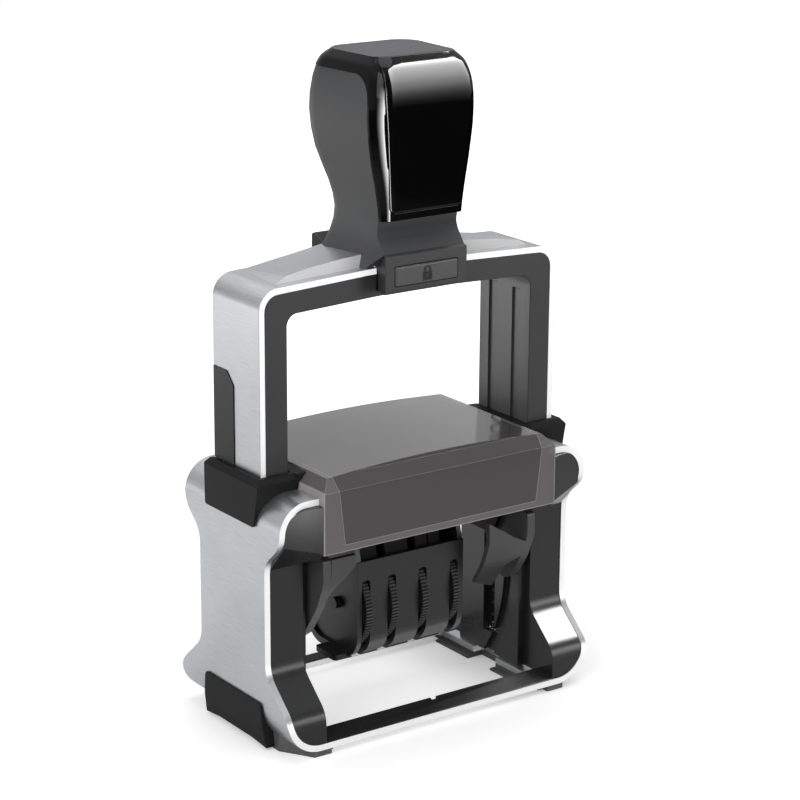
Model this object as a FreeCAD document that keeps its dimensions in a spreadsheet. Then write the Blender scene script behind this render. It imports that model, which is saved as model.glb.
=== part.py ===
import FreeCAD
import Part
import Sketcher
import math
import os

# Self-inking date stamp, in millimetres.
# X runs across the stamp, -Y is the front, +Z is up. The origin is on the table, at the
# centre of the base. The stamp is modelled at rest, with the handle up and the text
# plate facing the ink pad.

doc = FreeCAD.newDocument("DateStamp")
sheet = doc.addObject("Spreadsheet::Sheet", "Sizes")

SIZES = {
    # base outline
    "base_width": 92.0,
    "shell_gauge": 1.6,
    "shell_underside": 1.5,
    "foot_depth": 49.8,
    "foot_knee": 10.6,
    "waist_depth": 29.6,
    "waist_low": 19.6,
    "waist_high": 48.2,
    "shoulder_depth": 43.2,
    "shoulder_low": 54.2,
    "shoulder_height": 64.5,
    "foot_round": 9.5,
    "shoulder_round": 7.8,
    "foot_bend": 0.75,
    "shoulder_bend": 1.15,
    "frame_inset": 0.3,
    # columns, bars and runners of the base frame
    "column_width": 11.2,
    "column_wall": 0.9,
    "bar_height": 5.2,
    "bar_lip": 3.2,
    "bar_depth": 4.6,
    "frame_floor": 3.0,
    "runner_reach": 3.6,
    "runner_gauge": 1.4,
    # fairing beside the window, in front of each column
    "fender_front": 23.6,
    "fender_low": 49.8,
    # leg of the arch and its travel
    "arch_inset": 2.0,
    "arch_depth": 20.8,
    "arch_gauge": 1.6,
    "arch_height": 115.5,
    "arch_crown": 1.8,
    "arch_round": 5.5,
    "leg_thick": 7.8,
    "leg_bottom": 40.6,
    "shell_short": 2.8,
    "window_round": 3.0,
    "crown_round": 400.0,
    "beam_height": 7.2,
    "window_crown": 1.4,
    "groove_width": 3.2,
    "groove_spacing": 9.6,
    "leg_groove_depth": 0.5,
    "leg_gap": 0.3,
    "travel": 34.0,
    # turning unit
    "die_reach": 11.0,
    "axle_radius": 2.0,
    "guide_arm": 8.0,
    "guide_pin_radius": 1.4,
    "pin_gap": 0.3,
    "running_gap": 0.05,
    "groove_depth": 1.2,
    "guide_plate_gauge": 2.0,
    "guide_plate_half": 12.6,
    "unit_clearance": 6.8,
    "imprint_depth": 33.0,
    "rubber_height": 1.8,
    "die_plate_gauge": 1.2,
    "die_plate_edge": 0.4,
    "cheek_gauge": 1.2,
    "lever_gauge": 2.4,
    "lever_reach": 19.7,
    "web_gauge": 1.5,
    "housing_half": 16.2,
    "housing_front": 10.5,
    "housing_back": 12.7,
    "housing_reach": 30.5,
    "housing_top": 41.0,
    "housing_wall": 1.4,
    "housing_round": 7.0,
    "flange_half": 20.0,
    "flange_depth": 12.0,
    "deck_gauge": 2.2,
    "deck_depth": 26.0,
    "bridge_radius": 2.2,
    "date_window": 16.4,
    "wheel_radius": 11.4,
    "wheel_drop": 17.4,
    "wheel_offset": 0.5,
    "wheel_axle_radius": 1.5,
    "drum_radius": 7.0,
    "rim_width": 1.9,
    "wheel_1_at": -13.6,
    "wheel_2_at": -5.8,
    "wheel_3_at": 3.6,
    "wheel_4_at": 13.3,
    "drum_1_width": 5.6,
    "drum_2_width": 7.2,
    "drum_3_width": 3.8,
    "drum_4_width": 3.8,
    "band_gauge": 0.8,
    "band_gap": 0.2,
    "tooth_depth": 0.6,
    "slot_gap": 0.3,
    "slot_top": 36.0,
    # ink cassette and window
    "pad_gap": 1.8,
    "pad_thick": 5.0,
    "pad_margin": 0.9,
    "cassette_wall": 1.3,
    "cassette_top": 65.6,
    "cassette_half_depth": 20.4,
    "window_apex": 70.8,
    "window_edge": 68.8,
    "window_side_bevel": 2.6,
    "window_side": 66.0,
    "window_skirt": 61.0,
    "window_gauge": 1.3,
    "window_bevel": 2.9,
    "window_front": 23.8,
    "window_back": 21.5,
    "window_low": 50.6,
    "card_gauge": 0.6,
    # collars, covers and rails
    "collar_top": 68.4,
    "collar_low": 56.5,
    "collar_front": 13.2,
    "collar_back": 11.3,
    "collar_waist": 11.1,
    "trim_proud": 0.6,
    "cover_top": 12.0,
    "rail_inset": 16.3,
    "rail_strip": 1.9,
    "rail_lift": 0.6,
    "pin_notch": 4.8,
    "foot_inside": 33.2,
    "foot_outside": 38.2,
    # ribs on the legs
    "rib_gauge": 0.25,
    "rib_low": 68.4,
    "rib_top": 91.5,
    "rib_front": 1.0,
    "rib_back": 10.1,
    # return springs
    "spring_radius": 2.2,
    "spring_wire": 0.7,
    "spring_back": 5.6,
    "spring_inset": 4.2,
    "spring_length": 94.0,
    "spring_gap": 0.3,
    # handle
    "handle_height": 165.6,
    "handle_front": 17.2,
    "cap_depth": 4.7,
    "cap_height": 4.1,
    "panel_gauge": 1.7,
    "panel_gap": 0.2,
    "panel_half_top": 12.7,
    "panel_half_low": 10.5,
    "panel_rise": 13.8,
    "chin_rise": 11.2,
    "neck_front": 11.6,
    # lock
    "block_half": 12.0,
    "block_taper": 2.6,
    "block_notch": 10.6,
    "block_ledge": 0.9,
    "block_front": 16.0,
    "block_drop": 6.2,
    "block_rise": 3.6,
    "block_seat": 8.0,
    "button_half": 9.2,
    "button_height": 4.8,
    "button_lift": 1.9,
    "button_proud": 0.4,
    "button_thick": 3.2,
    "button_travel": 1.5,
    "button_gap": 0.15,
}

for row, (alias, number) in enumerate(SIZES.items(), start=1):
    sheet.set("A%d" % row, alias)
    sheet.set("B%d" % row, "%g" % number)
    sheet.setAlias("B%d" % row, alias)
doc.recompute()

# The cam groove follows its path in this many pairs of arcs.
ARC_COUNT = 4


class Size:
    """A length with its number and the expression that ties it to the sheet."""

    def __init__(self, value, text):
        self.value = value
        self.text = text

    def join(self, other, sign, value, swap=False):
        mate = other.text if isinstance(other, Size) else "%.10g" % other
        pair = (mate, self.text) if swap else (self.text, mate)
        return Size(value, "(%s %s %s)" % (pair[0], sign, pair[1]))

    def __add__(self, other):
        return self.join(other, "+", self.value + number_of(other))

    def __radd__(self, other):
        return self.join(other, "+", number_of(other) + self.value, swap=True)

    def __sub__(self, other):
        return self.join(other, "-", self.value - number_of(other))

    def __rsub__(self, other):
        return self.join(other, "-", number_of(other) - self.value, swap=True)

    def __mul__(self, other):
        return self.join(other, "*", self.value * number_of(other))

    def __rmul__(self, other):
        return self.join(other, "*", number_of(other) * self.value, swap=True)

    def __truediv__(self, other):
        return self.join(other, "/", self.value / number_of(other))

    def __neg__(self):
        return 0 - self


def number_of(size):
    return size.value if isinstance(size, Size) else float(size)


def size(alias):
    return Size(float(sheet.get(alias)), "Sizes.%s" % alias)


def bind(target, prop, length):
    """Gives a property its length, tied to the sheet where the length comes from it."""
    if isinstance(length, Size):
        target.setExpression(prop, length.text)
    else:
        setattr(target, prop, length)


def place(target, x=0.0, y=0.0, z=0.0):
    """Puts an object at x, y, z, tied to the sheet."""
    for axis, length in (("x", x), ("y", y), ("z", z)):
        if isinstance(length, Size):
            target.setExpression("Placement.Base.%s" % axis, length.text)
        elif length:
            target.setExpression("Placement.Base.%s" % axis, "%.10g" % length)


def body_named(name):
    return doc.addObject("PartDesign::Body", name)


def sketch_on(body, plane, name, offset=None):
    """A sketch on one of the body's own origin planes, moved along its normal."""
    sketch = body.newObject("Sketcher::SketchObject", name)
    origin_plane = next(f for f in body.Origin.OriginFeatures if f.Role == plane)
    sketch.AttachmentSupport = [(origin_plane, "")]
    sketch.MapMode = "FlatFace"
    if isinstance(offset, Size):
        sketch.setExpression("AttachmentOffset.Base.z", offset.text)
    elif offset:
        sketch.AttachmentOffset = FreeCAD.Placement(FreeCAD.Vector(0, 0, offset), FreeCAD.Rotation())
    return sketch


def flat(across, up):
    return FreeCAD.Vector(number_of(across), number_of(up), 0)


def hold(sketch, constraints):
    """Adds (constraint, length) pairs and ties each length to the sheet."""
    first = sketch.ConstraintCount
    sketch.addConstraint([constraint for constraint, length in constraints])
    for number, (constraint, length) in enumerate(constraints, start=first):
        if isinstance(length, Size):
            sketch.setExpression("Constraints[%d]" % number, length.text)


def pin_point(geometry, vertex, across, up):
    """Constraints that hold one point at its distances from the sketch's origin."""
    return [
        (Sketcher.Constraint("DistanceX", -1, 1, geometry, vertex, number_of(across)), across),
        (Sketcher.Constraint("DistanceY", -1, 1, geometry, vertex, number_of(up)), up),
    ]


def outline(sketch, corners):
    """A closed outline through (across, up) corners, round where a radius follows."""
    count = len(corners)
    points = [flat(corner[0], corner[1]) for corner in corners]
    leave = []
    enter = []
    arcs = {}
    for i, corner in enumerate(corners):
        radius = number_of(corner[2]) if len(corner) > 2 else 0.0
        if not radius:
            leave.append(points[i])
            enter.append(points[i])
            continue
        back = (points[i - 1] - points[i]).normalize()
        ahead = (points[(i + 1) % count] - points[i]).normalize()
        half = back.getAngle(ahead) / 2
        reach = radius / math.tan(half)
        enter.append(points[i] + back * reach)
        leave.append(points[i] + ahead * reach)
        centre = points[i] + (back + ahead).normalize() * (radius / math.sin(half))
        arcs[i] = (centre, radius)
    constraints = []
    lines = []
    for i in range(count):
        line = Part.LineSegment(leave[i], enter[(i + 1) % count])
        lines.append(sketch.addGeometry(line, False))
    for i, corner in enumerate(corners):
        before = lines[i - 1]
        after = lines[i]
        if i not in arcs:
            constraints.append((Sketcher.Constraint("Coincident", before, 2, after, 1), None))
            constraints += pin_point(after, 1, corner[0], corner[1])
            continue
        centre, radius = arcs[i]
        start = enter[i] - centre
        stop = leave[i] - centre
        turns_left = start.cross(stop).z > 0
        first = start if turns_left else stop
        last = stop if turns_left else start
        circle = Part.Circle(centre, FreeCAD.Vector(0, 0, 1), radius)
        arc = Part.ArcOfCircle(circle, math.atan2(first.y, first.x), math.atan2(last.y, last.x))
        bend = sketch.addGeometry(arc, False)
        knee = sketch.addGeometry(Part.Point(points[i]), True)
        begins = 1 if turns_left else 2
        constraints.append((Sketcher.Constraint("Tangent", before, 2, bend, begins), None))
        constraints.append((Sketcher.Constraint("Tangent", bend, 3 - begins, after, 1), None))
        constraints.append((Sketcher.Constraint("Radius", bend, radius), corner[2]))
        constraints.append((Sketcher.Constraint("PointOnObject", knee, 1, before), None))
        constraints.append((Sketcher.Constraint("PointOnObject", knee, 1, after), None))
        constraints += pin_point(knee, 1, corner[0], corner[1])
    hold(sketch, constraints)


def rectangle(sketch, left, right, low, high, radius=None):
    """A rectangle between two sides and two levels, with round corners if asked."""
    corners = [(left, low), (right, low), (right, high), (left, high)]
    if radius is not None:
        corners = [(across, up, radius) for across, up in corners]
    outline(sketch, corners)


def circle(sketch, across, up, radius):
    """A circle held by its centre and its radius."""
    ring = Part.Circle(flat(across, up), FreeCAD.Vector(0, 0, 1), number_of(radius))
    drawn = sketch.addGeometry(ring, False)
    held = [(Sketcher.Constraint("Radius", drawn, number_of(radius)), radius)]
    hold(sketch, held + pin_point(drawn, 3, across, up))


def pad(body, sketch, length, symmetric=False, reverse=False):
    """Raises a sketch by a length, on one side of its plane or on both."""
    feature = body.newObject("PartDesign::Pad", "%s_pad" % sketch.Name)
    feature.Profile = sketch
    feature.SideType = "Symmetric" if symmetric else "One side"
    feature.Reversed = reverse
    bind(feature, "Length", length)
    return feature


def pocket(body, sketch, length=None, symmetric=False, reverse=False):
    """Cuts a sketch out of the body to a depth, or right through where none is given."""
    feature = body.newObject("PartDesign::Pocket", "%s_pocket" % sketch.Name)
    feature.Profile = sketch
    feature.SideType = "Symmetric" if symmetric else "One side"
    feature.Reversed = reverse
    if length is None:
        feature.Type = "ThroughAll"
    else:
        bind(feature, "Length", length)
    return feature


def box(name, left, right, front, back, low, high):
    """A block between six faces, tied to the sheet."""
    block = doc.addObject("Part::Box", name)
    bind(block, "Length", right - left)
    bind(block, "Width", back - front)
    bind(block, "Height", high - low)
    place(block, left, front, low)
    return block


def rod(name, start, stop, y, z, radius):
    """A round bar along X."""
    bar = doc.addObject("Part::Cylinder", name)
    bind(bar, "Radius", radius)
    bind(bar, "Height", stop - start)
    bar.Placement = FreeCAD.Placement(FreeCAD.Vector(), FreeCAD.Rotation(FreeCAD.Vector(0, 1, 0), 90))
    place(bar, start, y, z)
    return bar


def cut(name, base, tool):
    result = doc.addObject("Part::Cut", name)
    result.Base = base
    result.Tool = tool
    return result


def common(name, base, tool):
    result = doc.addObject("Part::Common", name)
    result.Base = base
    result.Tool = tool
    return result


def fuse(name, base, tool):
    result = doc.addObject("Part::Fuse", name)
    result.Base = base
    result.Tool = tool
    return result


def mirror(source, label, normal=(1, 0, 0)):
    """The opposite-hand copy of a piece, across the middle of the stamp."""
    copy = doc.addObject("Part::Mirroring", label)
    copy.Source = source
    copy.Normal = FreeCAD.Vector(*normal)
    copy.Label = label
    return copy


def finish(piece, label):
    """Names a finished piece and lists it for export."""
    piece.Label = label
    subparts.append(piece)
    return piece


def finish_pair(right_piece, name):
    """Lists a piece of the right side and its mirror image on the left."""
    finish(right_piece, "%s_right" % name)
    return finish(mirror(right_piece, "%s_left" % name), "%s_left" % name)


subparts = []

# Places that several pieces share.
half_base = size("base_width") / 2
gauge = size("shell_gauge")
floor_top = size("shell_underside") + gauge
shell_inside = half_base - gauge
column_inside = half_base - size("column_width")
leg_outside = half_base - size("arch_inset")
leg_inside = leg_outside - size("leg_thick")
cavity_inside = column_inside + size("column_wall")
cavity_half_depth = size("arch_depth") / 2 + size("leg_gap")
rest_axle = size("travel") + size("die_reach")
plate_inside = column_inside - size("guide_plate_gauge")
rail_inside = half_base - size("rail_inset")
aperture_half = rail_inside + size("rail_strip")
arch_top = size("arch_height")
window_top = arch_top - size("beam_height")
block_low = arch_top - size("block_drop")
block_top = arch_top + size("block_rise")
imprint_half = column_inside - size("unit_clearance")
spring_at = leg_outside - size("spring_inset")
button_low = block_low + size("button_lift")
button_high = button_low + size("button_height")


def side_outline(inset):
    """Half of the waisted outline from the foot up, as (depth, height, radius) corners."""
    lower = size("foot_bend") * (size("waist_low") - size("foot_knee"))
    upper = size("shoulder_bend") * (size("shoulder_low") - size("waist_high"))
    return [
        (size("foot_depth") / 2 - inset, size("foot_knee"), lower),
        (size("waist_depth") / 2 - inset, size("waist_low"), lower),
        (size("waist_depth") / 2 - inset, size("waist_high"), upper),
        (size("shoulder_depth") / 2 - inset, size("shoulder_low"), upper),
    ]


def trim_to_outline(body, inset, low, high):
    """Cuts the front and the rear of a body back to the waisted outline."""
    for side in (-1, 1):
        sketch = sketch_on(body, "YZ_Plane", "%s_trim" % ("front" if side < 0 else "rear"))
        edge = side_outline(inset)
        far = size("foot_depth")
        corners = [(side * edge[0][0], low)]
        corners += [(side * depth, height, bend) for depth, height, bend in edge]
        corners += [(side * edge[-1][0], high), (side * far, high), (side * far, low)]
        outline(sketch, corners)
        pocket(body, sketch, symmetric=True)


# The base shell is one strip of brushed steel, bent up at both ends round the frame, with
# its front and rear edges cut to the waisted outline.
def make_base_shell():
    body = body_named("base_shell")
    bottom = size("shell_underside")
    top = size("shoulder_height")
    end = column_inside
    big = size("foot_round")
    shoulder = size("shoulder_round")
    section = sketch_on(body, "XZ_Plane", "band_section")
    outer = [
        (-end, top),
        (-half_base, top, shoulder),
        (-half_base, bottom, big),
        (half_base, bottom, big),
        (half_base, top, shoulder),
        (end, top),
    ]
    inner = [
        (end, top - gauge),
        (half_base - gauge, top - gauge, shoulder - gauge),
        (half_base - gauge, bottom + gauge, big - gauge),
        (gauge - half_base, bottom + gauge, big - gauge),
        (gauge - half_base, top - gauge, shoulder - gauge),
        (-end, top - gauge),
    ]
    outline(section, outer + inner)
    pad(body, section, size("foot_depth") * 1.2, symmetric=True)
    trim_to_outline(body, 0, bottom - gauge, top + gauge)
    aperture = sketch_on(body, "XY_Plane", "aperture")
    half_depth = size("foot_depth") / 2 - size("bar_depth") - 0.4
    rectangle(aperture, -aperture_half, aperture_half, -half_depth, half_depth, 1.5)
    pocket(body, aperture, floor_top + gauge, reverse=True)
    notches = sketch_on(body, "XY_Plane", "pin_notches")
    reach = column_inside - 0.2
    rectangle(notches, -reach, reach, -size("pin_notch"), size("pin_notch"), 1)
    pocket(body, notches, floor_top + gauge, reverse=True)
    for side in (-1, 1):
        opening = sketch_on(body, "XY_Plane", "leg_opening", size("shoulder_low"))
        left = side * (cavity_inside - size("column_wall"))
        right = side * shell_inside
        ends = (left, right) if side > 0 else (right, left)
        rectangle(opening, ends[0], ends[1], -cavity_half_depth, cavity_half_depth)
        pocket(body, opening, size("shoulder_height"), reverse=True)
    return finish(body, "base_shell")


# The base frame is the black moulding inside the band: two hollow columns for the legs,
# low bars front and rear, and the runners that carry the ink cassette.
def make_base_frame():
    body = body_named("frame_moulding")
    top = size("shoulder_height") - gauge
    inside = column_inside
    section = sketch_on(body, "XZ_Plane", "frame_section")
    outline(
        section,
        [
            (-inside, top),
            (-shell_inside, top, size("shoulder_round") - gauge),
            (-shell_inside, floor_top, size("foot_round") - gauge),
            (shell_inside, floor_top, size("foot_round") - gauge),
            (shell_inside, top, size("shoulder_round") - gauge),
            (inside, top),
            (inside, size("bar_height")),
            (-inside, size("bar_height")),
        ],
    )
    pad(body, section, size("foot_depth") * 1.2, symmetric=True)
    trim_to_outline(body, size("frame_inset"), 0, top + gauge)
    bar_front = size("foot_depth") / 2 - size("frame_inset")
    bar_back = size("foot_depth") / 2 - size("bar_depth")
    aperture = sketch_on(body, "XY_Plane", "paper_opening")
    rectangle(aperture, -inside, inside, -bar_back, bar_back)
    pocket(body, aperture, size("bar_height") * 2, reverse=True)
    for side in (-1, 1):
        slope = sketch_on(body, "YZ_Plane", "bar_slope")
        outline(
            slope,
            [
                (side * bar_back, size("bar_height")),
                (side * bar_front, size("bar_lip")),
                (side * bar_front, size("bar_height") * 2),
                (side * bar_back, size("bar_height") * 2),
            ],
        )
        pocket(body, slope, 2 * inside, symmetric=True)
        cavity = sketch_on(body, "XY_Plane", "leg_cavity", floor_top + size("frame_floor"))
        ends = (cavity_inside, half_base) if side > 0 else (-half_base, -cavity_inside)
        rectangle(cavity, ends[0], ends[1], -cavity_half_depth, cavity_half_depth)
        pocket(body, cavity, reverse=True)
        runner = sketch_on(body, "XZ_Plane", "runner")
        runner_top = runner_level()
        reach = inside - size("runner_reach")
        near = (reach, inside) if side > 0 else (-inside, -reach)
        rectangle(runner, near[0], near[1], runner_top - size("runner_gauge"), runner_top)
        pad(body, runner, size("shoulder_depth") - 2, symmetric=True)
        notch = sketch_on(body, "XY_Plane", "bar_notch", size("bar_height") - 0.7)
        ends = (bar_back - 1, bar_back + 1.6) if side > 0 else (-bar_back - 1.6, 1 - bar_back)
        rectangle(notch, -0.8, 0.8, ends[0], ends[1])
        pocket(body, notch, size("bar_height"), reverse=True)
    slot = sketch_on(body, "YZ_Plane", "axle_slots")
    slot_half = size("axle_radius") + size("pin_gap")
    low = size("die_reach") - slot_half
    high = rest_axle + slot_half
    outline(slot, [(-slot_half, low), (slot_half, low), (slot_half, high), (-slot_half, high)])
    pocket(body, slot, 2 * (cavity_inside + size("column_wall")), symmetric=True)
    fairing = make_fairing()
    left = doc.addObject("Part::Mirroring", "fairing_left")
    left.Source = fairing
    left.Normal = FreeCAD.Vector(1, 0, 0)
    return finish(fuse("base_frame", body, fuse("fairings", fairing, left)), "base_frame")


def make_fairing():
    """The smooth swelling in front of a column, between the steel edge and the window."""
    body = body_named("fairing")
    top = size("shoulder_height") - gauge
    back = size("waist_depth") / 2 - 3
    edge = size("shoulder_depth") / 2 - size("frame_inset")
    waist = size("waist_depth") / 2 - size("frame_inset")
    front = size("fender_front")
    low = size("fender_low")
    outer = sketch_on(body, "YZ_Plane", "steel_side", shell_inside)
    outline(
        outer,
        [
            (-back, size("waist_high") - 2),
            (-waist, size("waist_high") - 2),
            (-edge, size("shoulder_low") - 0.4),
            (-edge, top),
            (-back, top),
        ],
    )
    inner = sketch_on(body, "YZ_Plane", "window_side", column_inside)
    outline(
        inner,
        [(-back, low), (1.2 - front, low), (-front, low + 1.4), (-front, top), (-back, top)],
    )
    loft = body.newObject("PartDesign::AdditiveLoft", "fairing_form")
    loft.Profile = outer
    loft.Sections = [inner]
    loft.Ruled = True
    corner = sketch_on(body, "XZ_Plane", "band_corner")
    bend = size("shoulder_round") - gauge
    far = half_base * 1.2
    outline(
        corner,
        [
            (column_inside - 1, top),
            (shell_inside, top, bend),
            (shell_inside, size("waist_low")),
            (far, size("waist_low")),
            (far, top + 5),
            (column_inside - 1, top + 5),
        ],
    )
    pocket(body, corner, symmetric=True)
    return body


def runner_level():
    """Height of the face that the flanges of the ink cassette slide on."""
    return pad_face() + size("cassette_wall")


def pad_face():
    """Height of the face of the ink pad, above the resting text plate."""
    return rest_axle + size("die_reach") + size("pad_gap")


# Each guide plate lies inside a column. The axle slides in its upright slot, and the guide
# pin of the turning unit follows the cam groove, which turns the unit half a turn over the
# travel. The groove is the path of the pin: height falls evenly with the turn.
def make_guide_plate():
    thick = number_of(size("guide_plate_gauge"))
    inner = number_of(plate_inside)
    half = number_of(size("guide_plate_half"))
    low = number_of(floor_top)
    arm = number_of(size("guide_arm"))
    pin = number_of(size("guide_pin_radius")) + number_of(size("pin_gap"))
    high = number_of(rest_axle) + arm + pin + 1.5
    depth = number_of(size("groove_depth"))
    blank = Part.makeBox(thick, 2 * half, high - low, FreeCAD.Vector(inner, -half, low))
    slot_half = number_of(size("axle_radius") + size("pin_gap"))
    slot_low = number_of(size("die_reach")) - slot_half
    slot_high = number_of(rest_axle) + slot_half
    slot = Part.makeBox(
        thick * 2, 2 * slot_half, slot_high - slot_low, FreeCAD.Vector(inner - 1, -slot_half, slot_low)
    )
    plate = blank.cut(slot)
    travel = number_of(size("travel"))
    path = []
    for step in range(2 * ARC_COUNT + 1):
        turn = math.pi * step / (2 * ARC_COUNT)
        y = -arm * math.sin(turn)
        z = number_of(rest_axle) - travel * turn / math.pi + arm * math.cos(turn)
        climb = travel / math.pi + arm * math.sin(turn)
        ahead = FreeCAD.Vector(0, -arm * math.cos(turn), -climb).normalize()
        path.append((FreeCAD.Vector(inner, y, z), FreeCAD.Vector(0, -ahead.z, ahead.y) * pin))
    left_side = [point + normal for point, normal in path]
    right_side = [point - normal for point, normal in path]
    edges = [
        Part.LineSegment(left_side[-1], right_side[-1]).toShape(),
        Part.LineSegment(right_side[0], left_side[0]).toShape(),
    ]
    for side in (left_side, right_side):
        for span in range(ARC_COUNT):
            edges.append(Part.Arc(*side[2 * span : 2 * span + 3]).toShape())
    wire = Part.Wire(Part.sortEdges(edges)[0])
    groove = Part.Face(wire).extrude(FreeCAD.Vector(depth, 0, 0))
    for end, normal in (path[0], path[-1]):
        round_end = Part.makeCylinder(pin, depth, end, FreeCAD.Vector(1, 0, 0))
        groove = groove.fuse(round_end)
    plate = plate.cut(groove)
    piece = doc.addObject("Part::Feature", "guide_plate")
    piece.Shape = plate.removeSplitter()
    return finish_pair(piece, "guide_plate")


# The collars are black trim on the shoulders. They cap the opening in the steel and guide
# the legs of the arch, with a thin plate that laps down over the outside of the band.
def make_collar():
    body = body_named("collar")
    top = size("collar_top")
    low = size("collar_low")
    front = size("collar_front")
    back = size("collar_back")
    waist = size("collar_waist")
    side_view = sketch_on(body, "YZ_Plane", "side_view", column_inside)
    outline(
        side_view,
        [
            (-front, top - 1.2),
            (-front + 1.4, top),
            (back - 1.2, top),
            (back, top - 1.2),
            (waist, low, 0.8),
            (-waist, low, 0.8),
        ],
    )
    outside = half_base + size("trim_proud")
    pad(body, side_view, outside - column_inside)
    steel = sketch_on(body, "XZ_Plane", "steel_below")
    outline(
        steel,
        [
            (rail_inside, size("shoulder_height")),
            (half_base, size("shoulder_height"), size("shoulder_round")),
            (half_base, low - 1),
            (rail_inside, low - 1),
        ],
    )
    pocket(body, steel, symmetric=True)
    leg = sketch_on(body, "XY_Plane", "leg_opening", size("shoulder_low"))
    rectangle(leg, cavity_inside, shell_inside, -cavity_half_depth, cavity_half_depth)
    pocket(body, leg, reverse=True)
    bevels = sketch_on(body, "XZ_Plane", "top_bevels")
    outline(bevels, [(outside - 1.1, top), (outside, top - 1.6), (outside + 1, top + 1)])
    pocket(body, bevels, symmetric=True)
    lap = sketch_on(body, "XZ_Plane", "window_lap", 1 - back)
    bevel = size("window_side_bevel")
    rim = column_inside - bevel
    outline(
        lap,
        [
            (column_inside, size("window_side") + 0.25),
            (column_inside + 0.7, top),
            (rim + 0.5, size("window_edge") - 0.25),
        ],
    )
    pad(body, lap, back + front - 1.2)
    return finish_pair(body, "collar")


# The foot covers are black mouldings that fill the space under the round lower corners of
# the band and lap up over its outside.
def make_foot_cover():
    body = body_named("foot_cover")
    top = size("cover_top")
    bottom = size("rail_lift")
    plate = sketch_on(body, "YZ_Plane", "cover_outline", rail_outside())
    outline(
        plate,
        [
            (-14.8, bottom),
            (-8, bottom + 0.7, 9),
            (7, bottom + 0.7, 9),
            (13.4, bottom),
            (12.6, top, 1.2),
            (-13.4, top, 1.2),
        ],
    )
    outside = half_base + size("trim_proud")
    pad(body, plate, outside - rail_outside())
    steel = sketch_on(body, "XZ_Plane", "steel_inside")
    inner = rail_outside() - 4
    outline(
        steel,
        [
            (inner, size("shell_underside")),
            (half_base, size("shell_underside"), size("foot_round")),
            (half_base, top + 2),
            (inner, top + 2),
        ],
    )
    pocket(body, steel, symmetric=True)
    fold = sketch_on(body, "XZ_Plane", "lower_fold")
    outline(fold, [(outside - 0.9, bottom - 1), (outside, top / 2), (outside + 1, bottom - 1)])
    pocket(body, fold, symmetric=True)
    return finish_pair(body, "foot_cover")


def rail_outside():
    """Where the foot rails end and the foot covers begin."""
    return half_base - 2.6


# The foot rails are grey strips along both sides of the opening. The stamp stands on them.
# They fill the wedge under the band in front of and behind the covers, and a notch in the
# middle lets the guide pins come down.
def make_foot_rail():
    body = body_named("foot_rail")
    half = size("foot_depth") / 2
    lift = size("rail_lift")
    outside = rail_outside()
    foot_inside = size("foot_inside")
    foot_outside = size("foot_outside")
    plan = sketch_on(body, "XY_Plane", "rail_plan")
    outline(
        plan,
        [
            (aperture_half, 2.2 - half),
            (foot_inside, 2.2 - half),
            (foot_inside, 0.2 - half, 0.4),
            (foot_outside, 0.2 - half, 0.4),
            (outside, -half + 8.4),
            (outside, half - 8.4),
            (foot_outside, half - 0.2, 0.4),
            (foot_inside, half - 0.2, 0.4),
            (foot_inside, half - 2.2),
            (aperture_half, half - 2.2),
        ],
    )
    pad(body, plan, lift * 8)
    steel = sketch_on(body, "XZ_Plane", "steel_above")
    inner = aperture_half - 6
    outline(
        steel,
        [
            (inner, size("shell_underside")),
            (half_base, size("shell_underside"), size("foot_round")),
            (half_base, size("foot_round") * 2),
            (inner, size("foot_round") * 2),
        ],
    )
    pocket(body, steel, symmetric=True)
    strip = sketch_on(body, "XY_Plane", "strip_plan")
    strip_half = size("foot_depth") / 2 - size("bar_depth") - 1
    rectangle(strip, rail_inside, aperture_half + 1, -strip_half, strip_half)
    pad(body, strip, lift)
    notch = sketch_on(body, "XY_Plane", "centre_notch")
    rectangle(notch, rail_inside - 1, column_inside - 0.4, -size("pin_notch"), size("pin_notch"))
    pocket(body, notch, lift * 9, reverse=True)
    return finish_pair(body, "foot_rail")


def hood_solid(name, inset, spare):
    """The filled form of the index window, inset from its outside and longer by a spare."""
    body = body_named(name)
    side = column_inside - inset
    rim = (column_inside - size("window_side_bevel")) - inset / 2
    edge = size("window_edge") - inset
    apex = size("window_apex") - inset
    shoulder = size("window_side") - inset / 2
    front = size("window_front") - inset
    low = size("window_low") - spare
    crown = 0.76 * rim * rim / (apex - edge)
    section = sketch_on(body, "XZ_Plane", "cross_section", -size("window_back") - spare)
    outline(
        section,
        [(side, low), (side, shoulder), (rim, edge), (0, apex, crown)]
        + [(-rim, edge), (-side, shoulder), (-side, low)],
    )
    pad(body, section, size("window_back") + spare + front)
    bevel = size("window_bevel")
    slope = sketch_on(body, "YZ_Plane", "front_bevel")
    above = size("window_apex") + 3
    outline(
        slope,
        [
            (-front, size("window_side") - inset / 2),
            (bevel - front, size("window_edge") + 0.4 - inset),
            (bevel - front, above),
            (-front - 2, above),
            (-front - 2, size("window_side") - inset / 2),
        ],
    )
    pocket(body, slope, symmetric=True)
    return body


def hood(name, inset, thickness, skirt):
    """A shell of the window's form, open at the back, with short skirts behind its front."""
    outside = hood_solid("%s_outside" % name, inset, 0)
    hollow = hood_solid("%s_hollow" % name, inset + thickness, 3)
    behind = body_named("%s_behind" % name)
    back = sketch_on(behind, "YZ_Plane", "lower_back")
    rear = size("window_back") + 1
    low = size("window_low") - 3
    edge = size("window_bevel") - size("window_front")
    outline(back, [(edge, low), (rear, low), (rear, skirt), (edge, skirt)])
    pad(behind, back, 2 * half_base, symmetric=True)
    return cut("%s_shell" % name, cut("%s_walls" % name, outside, hollow), behind)


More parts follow.
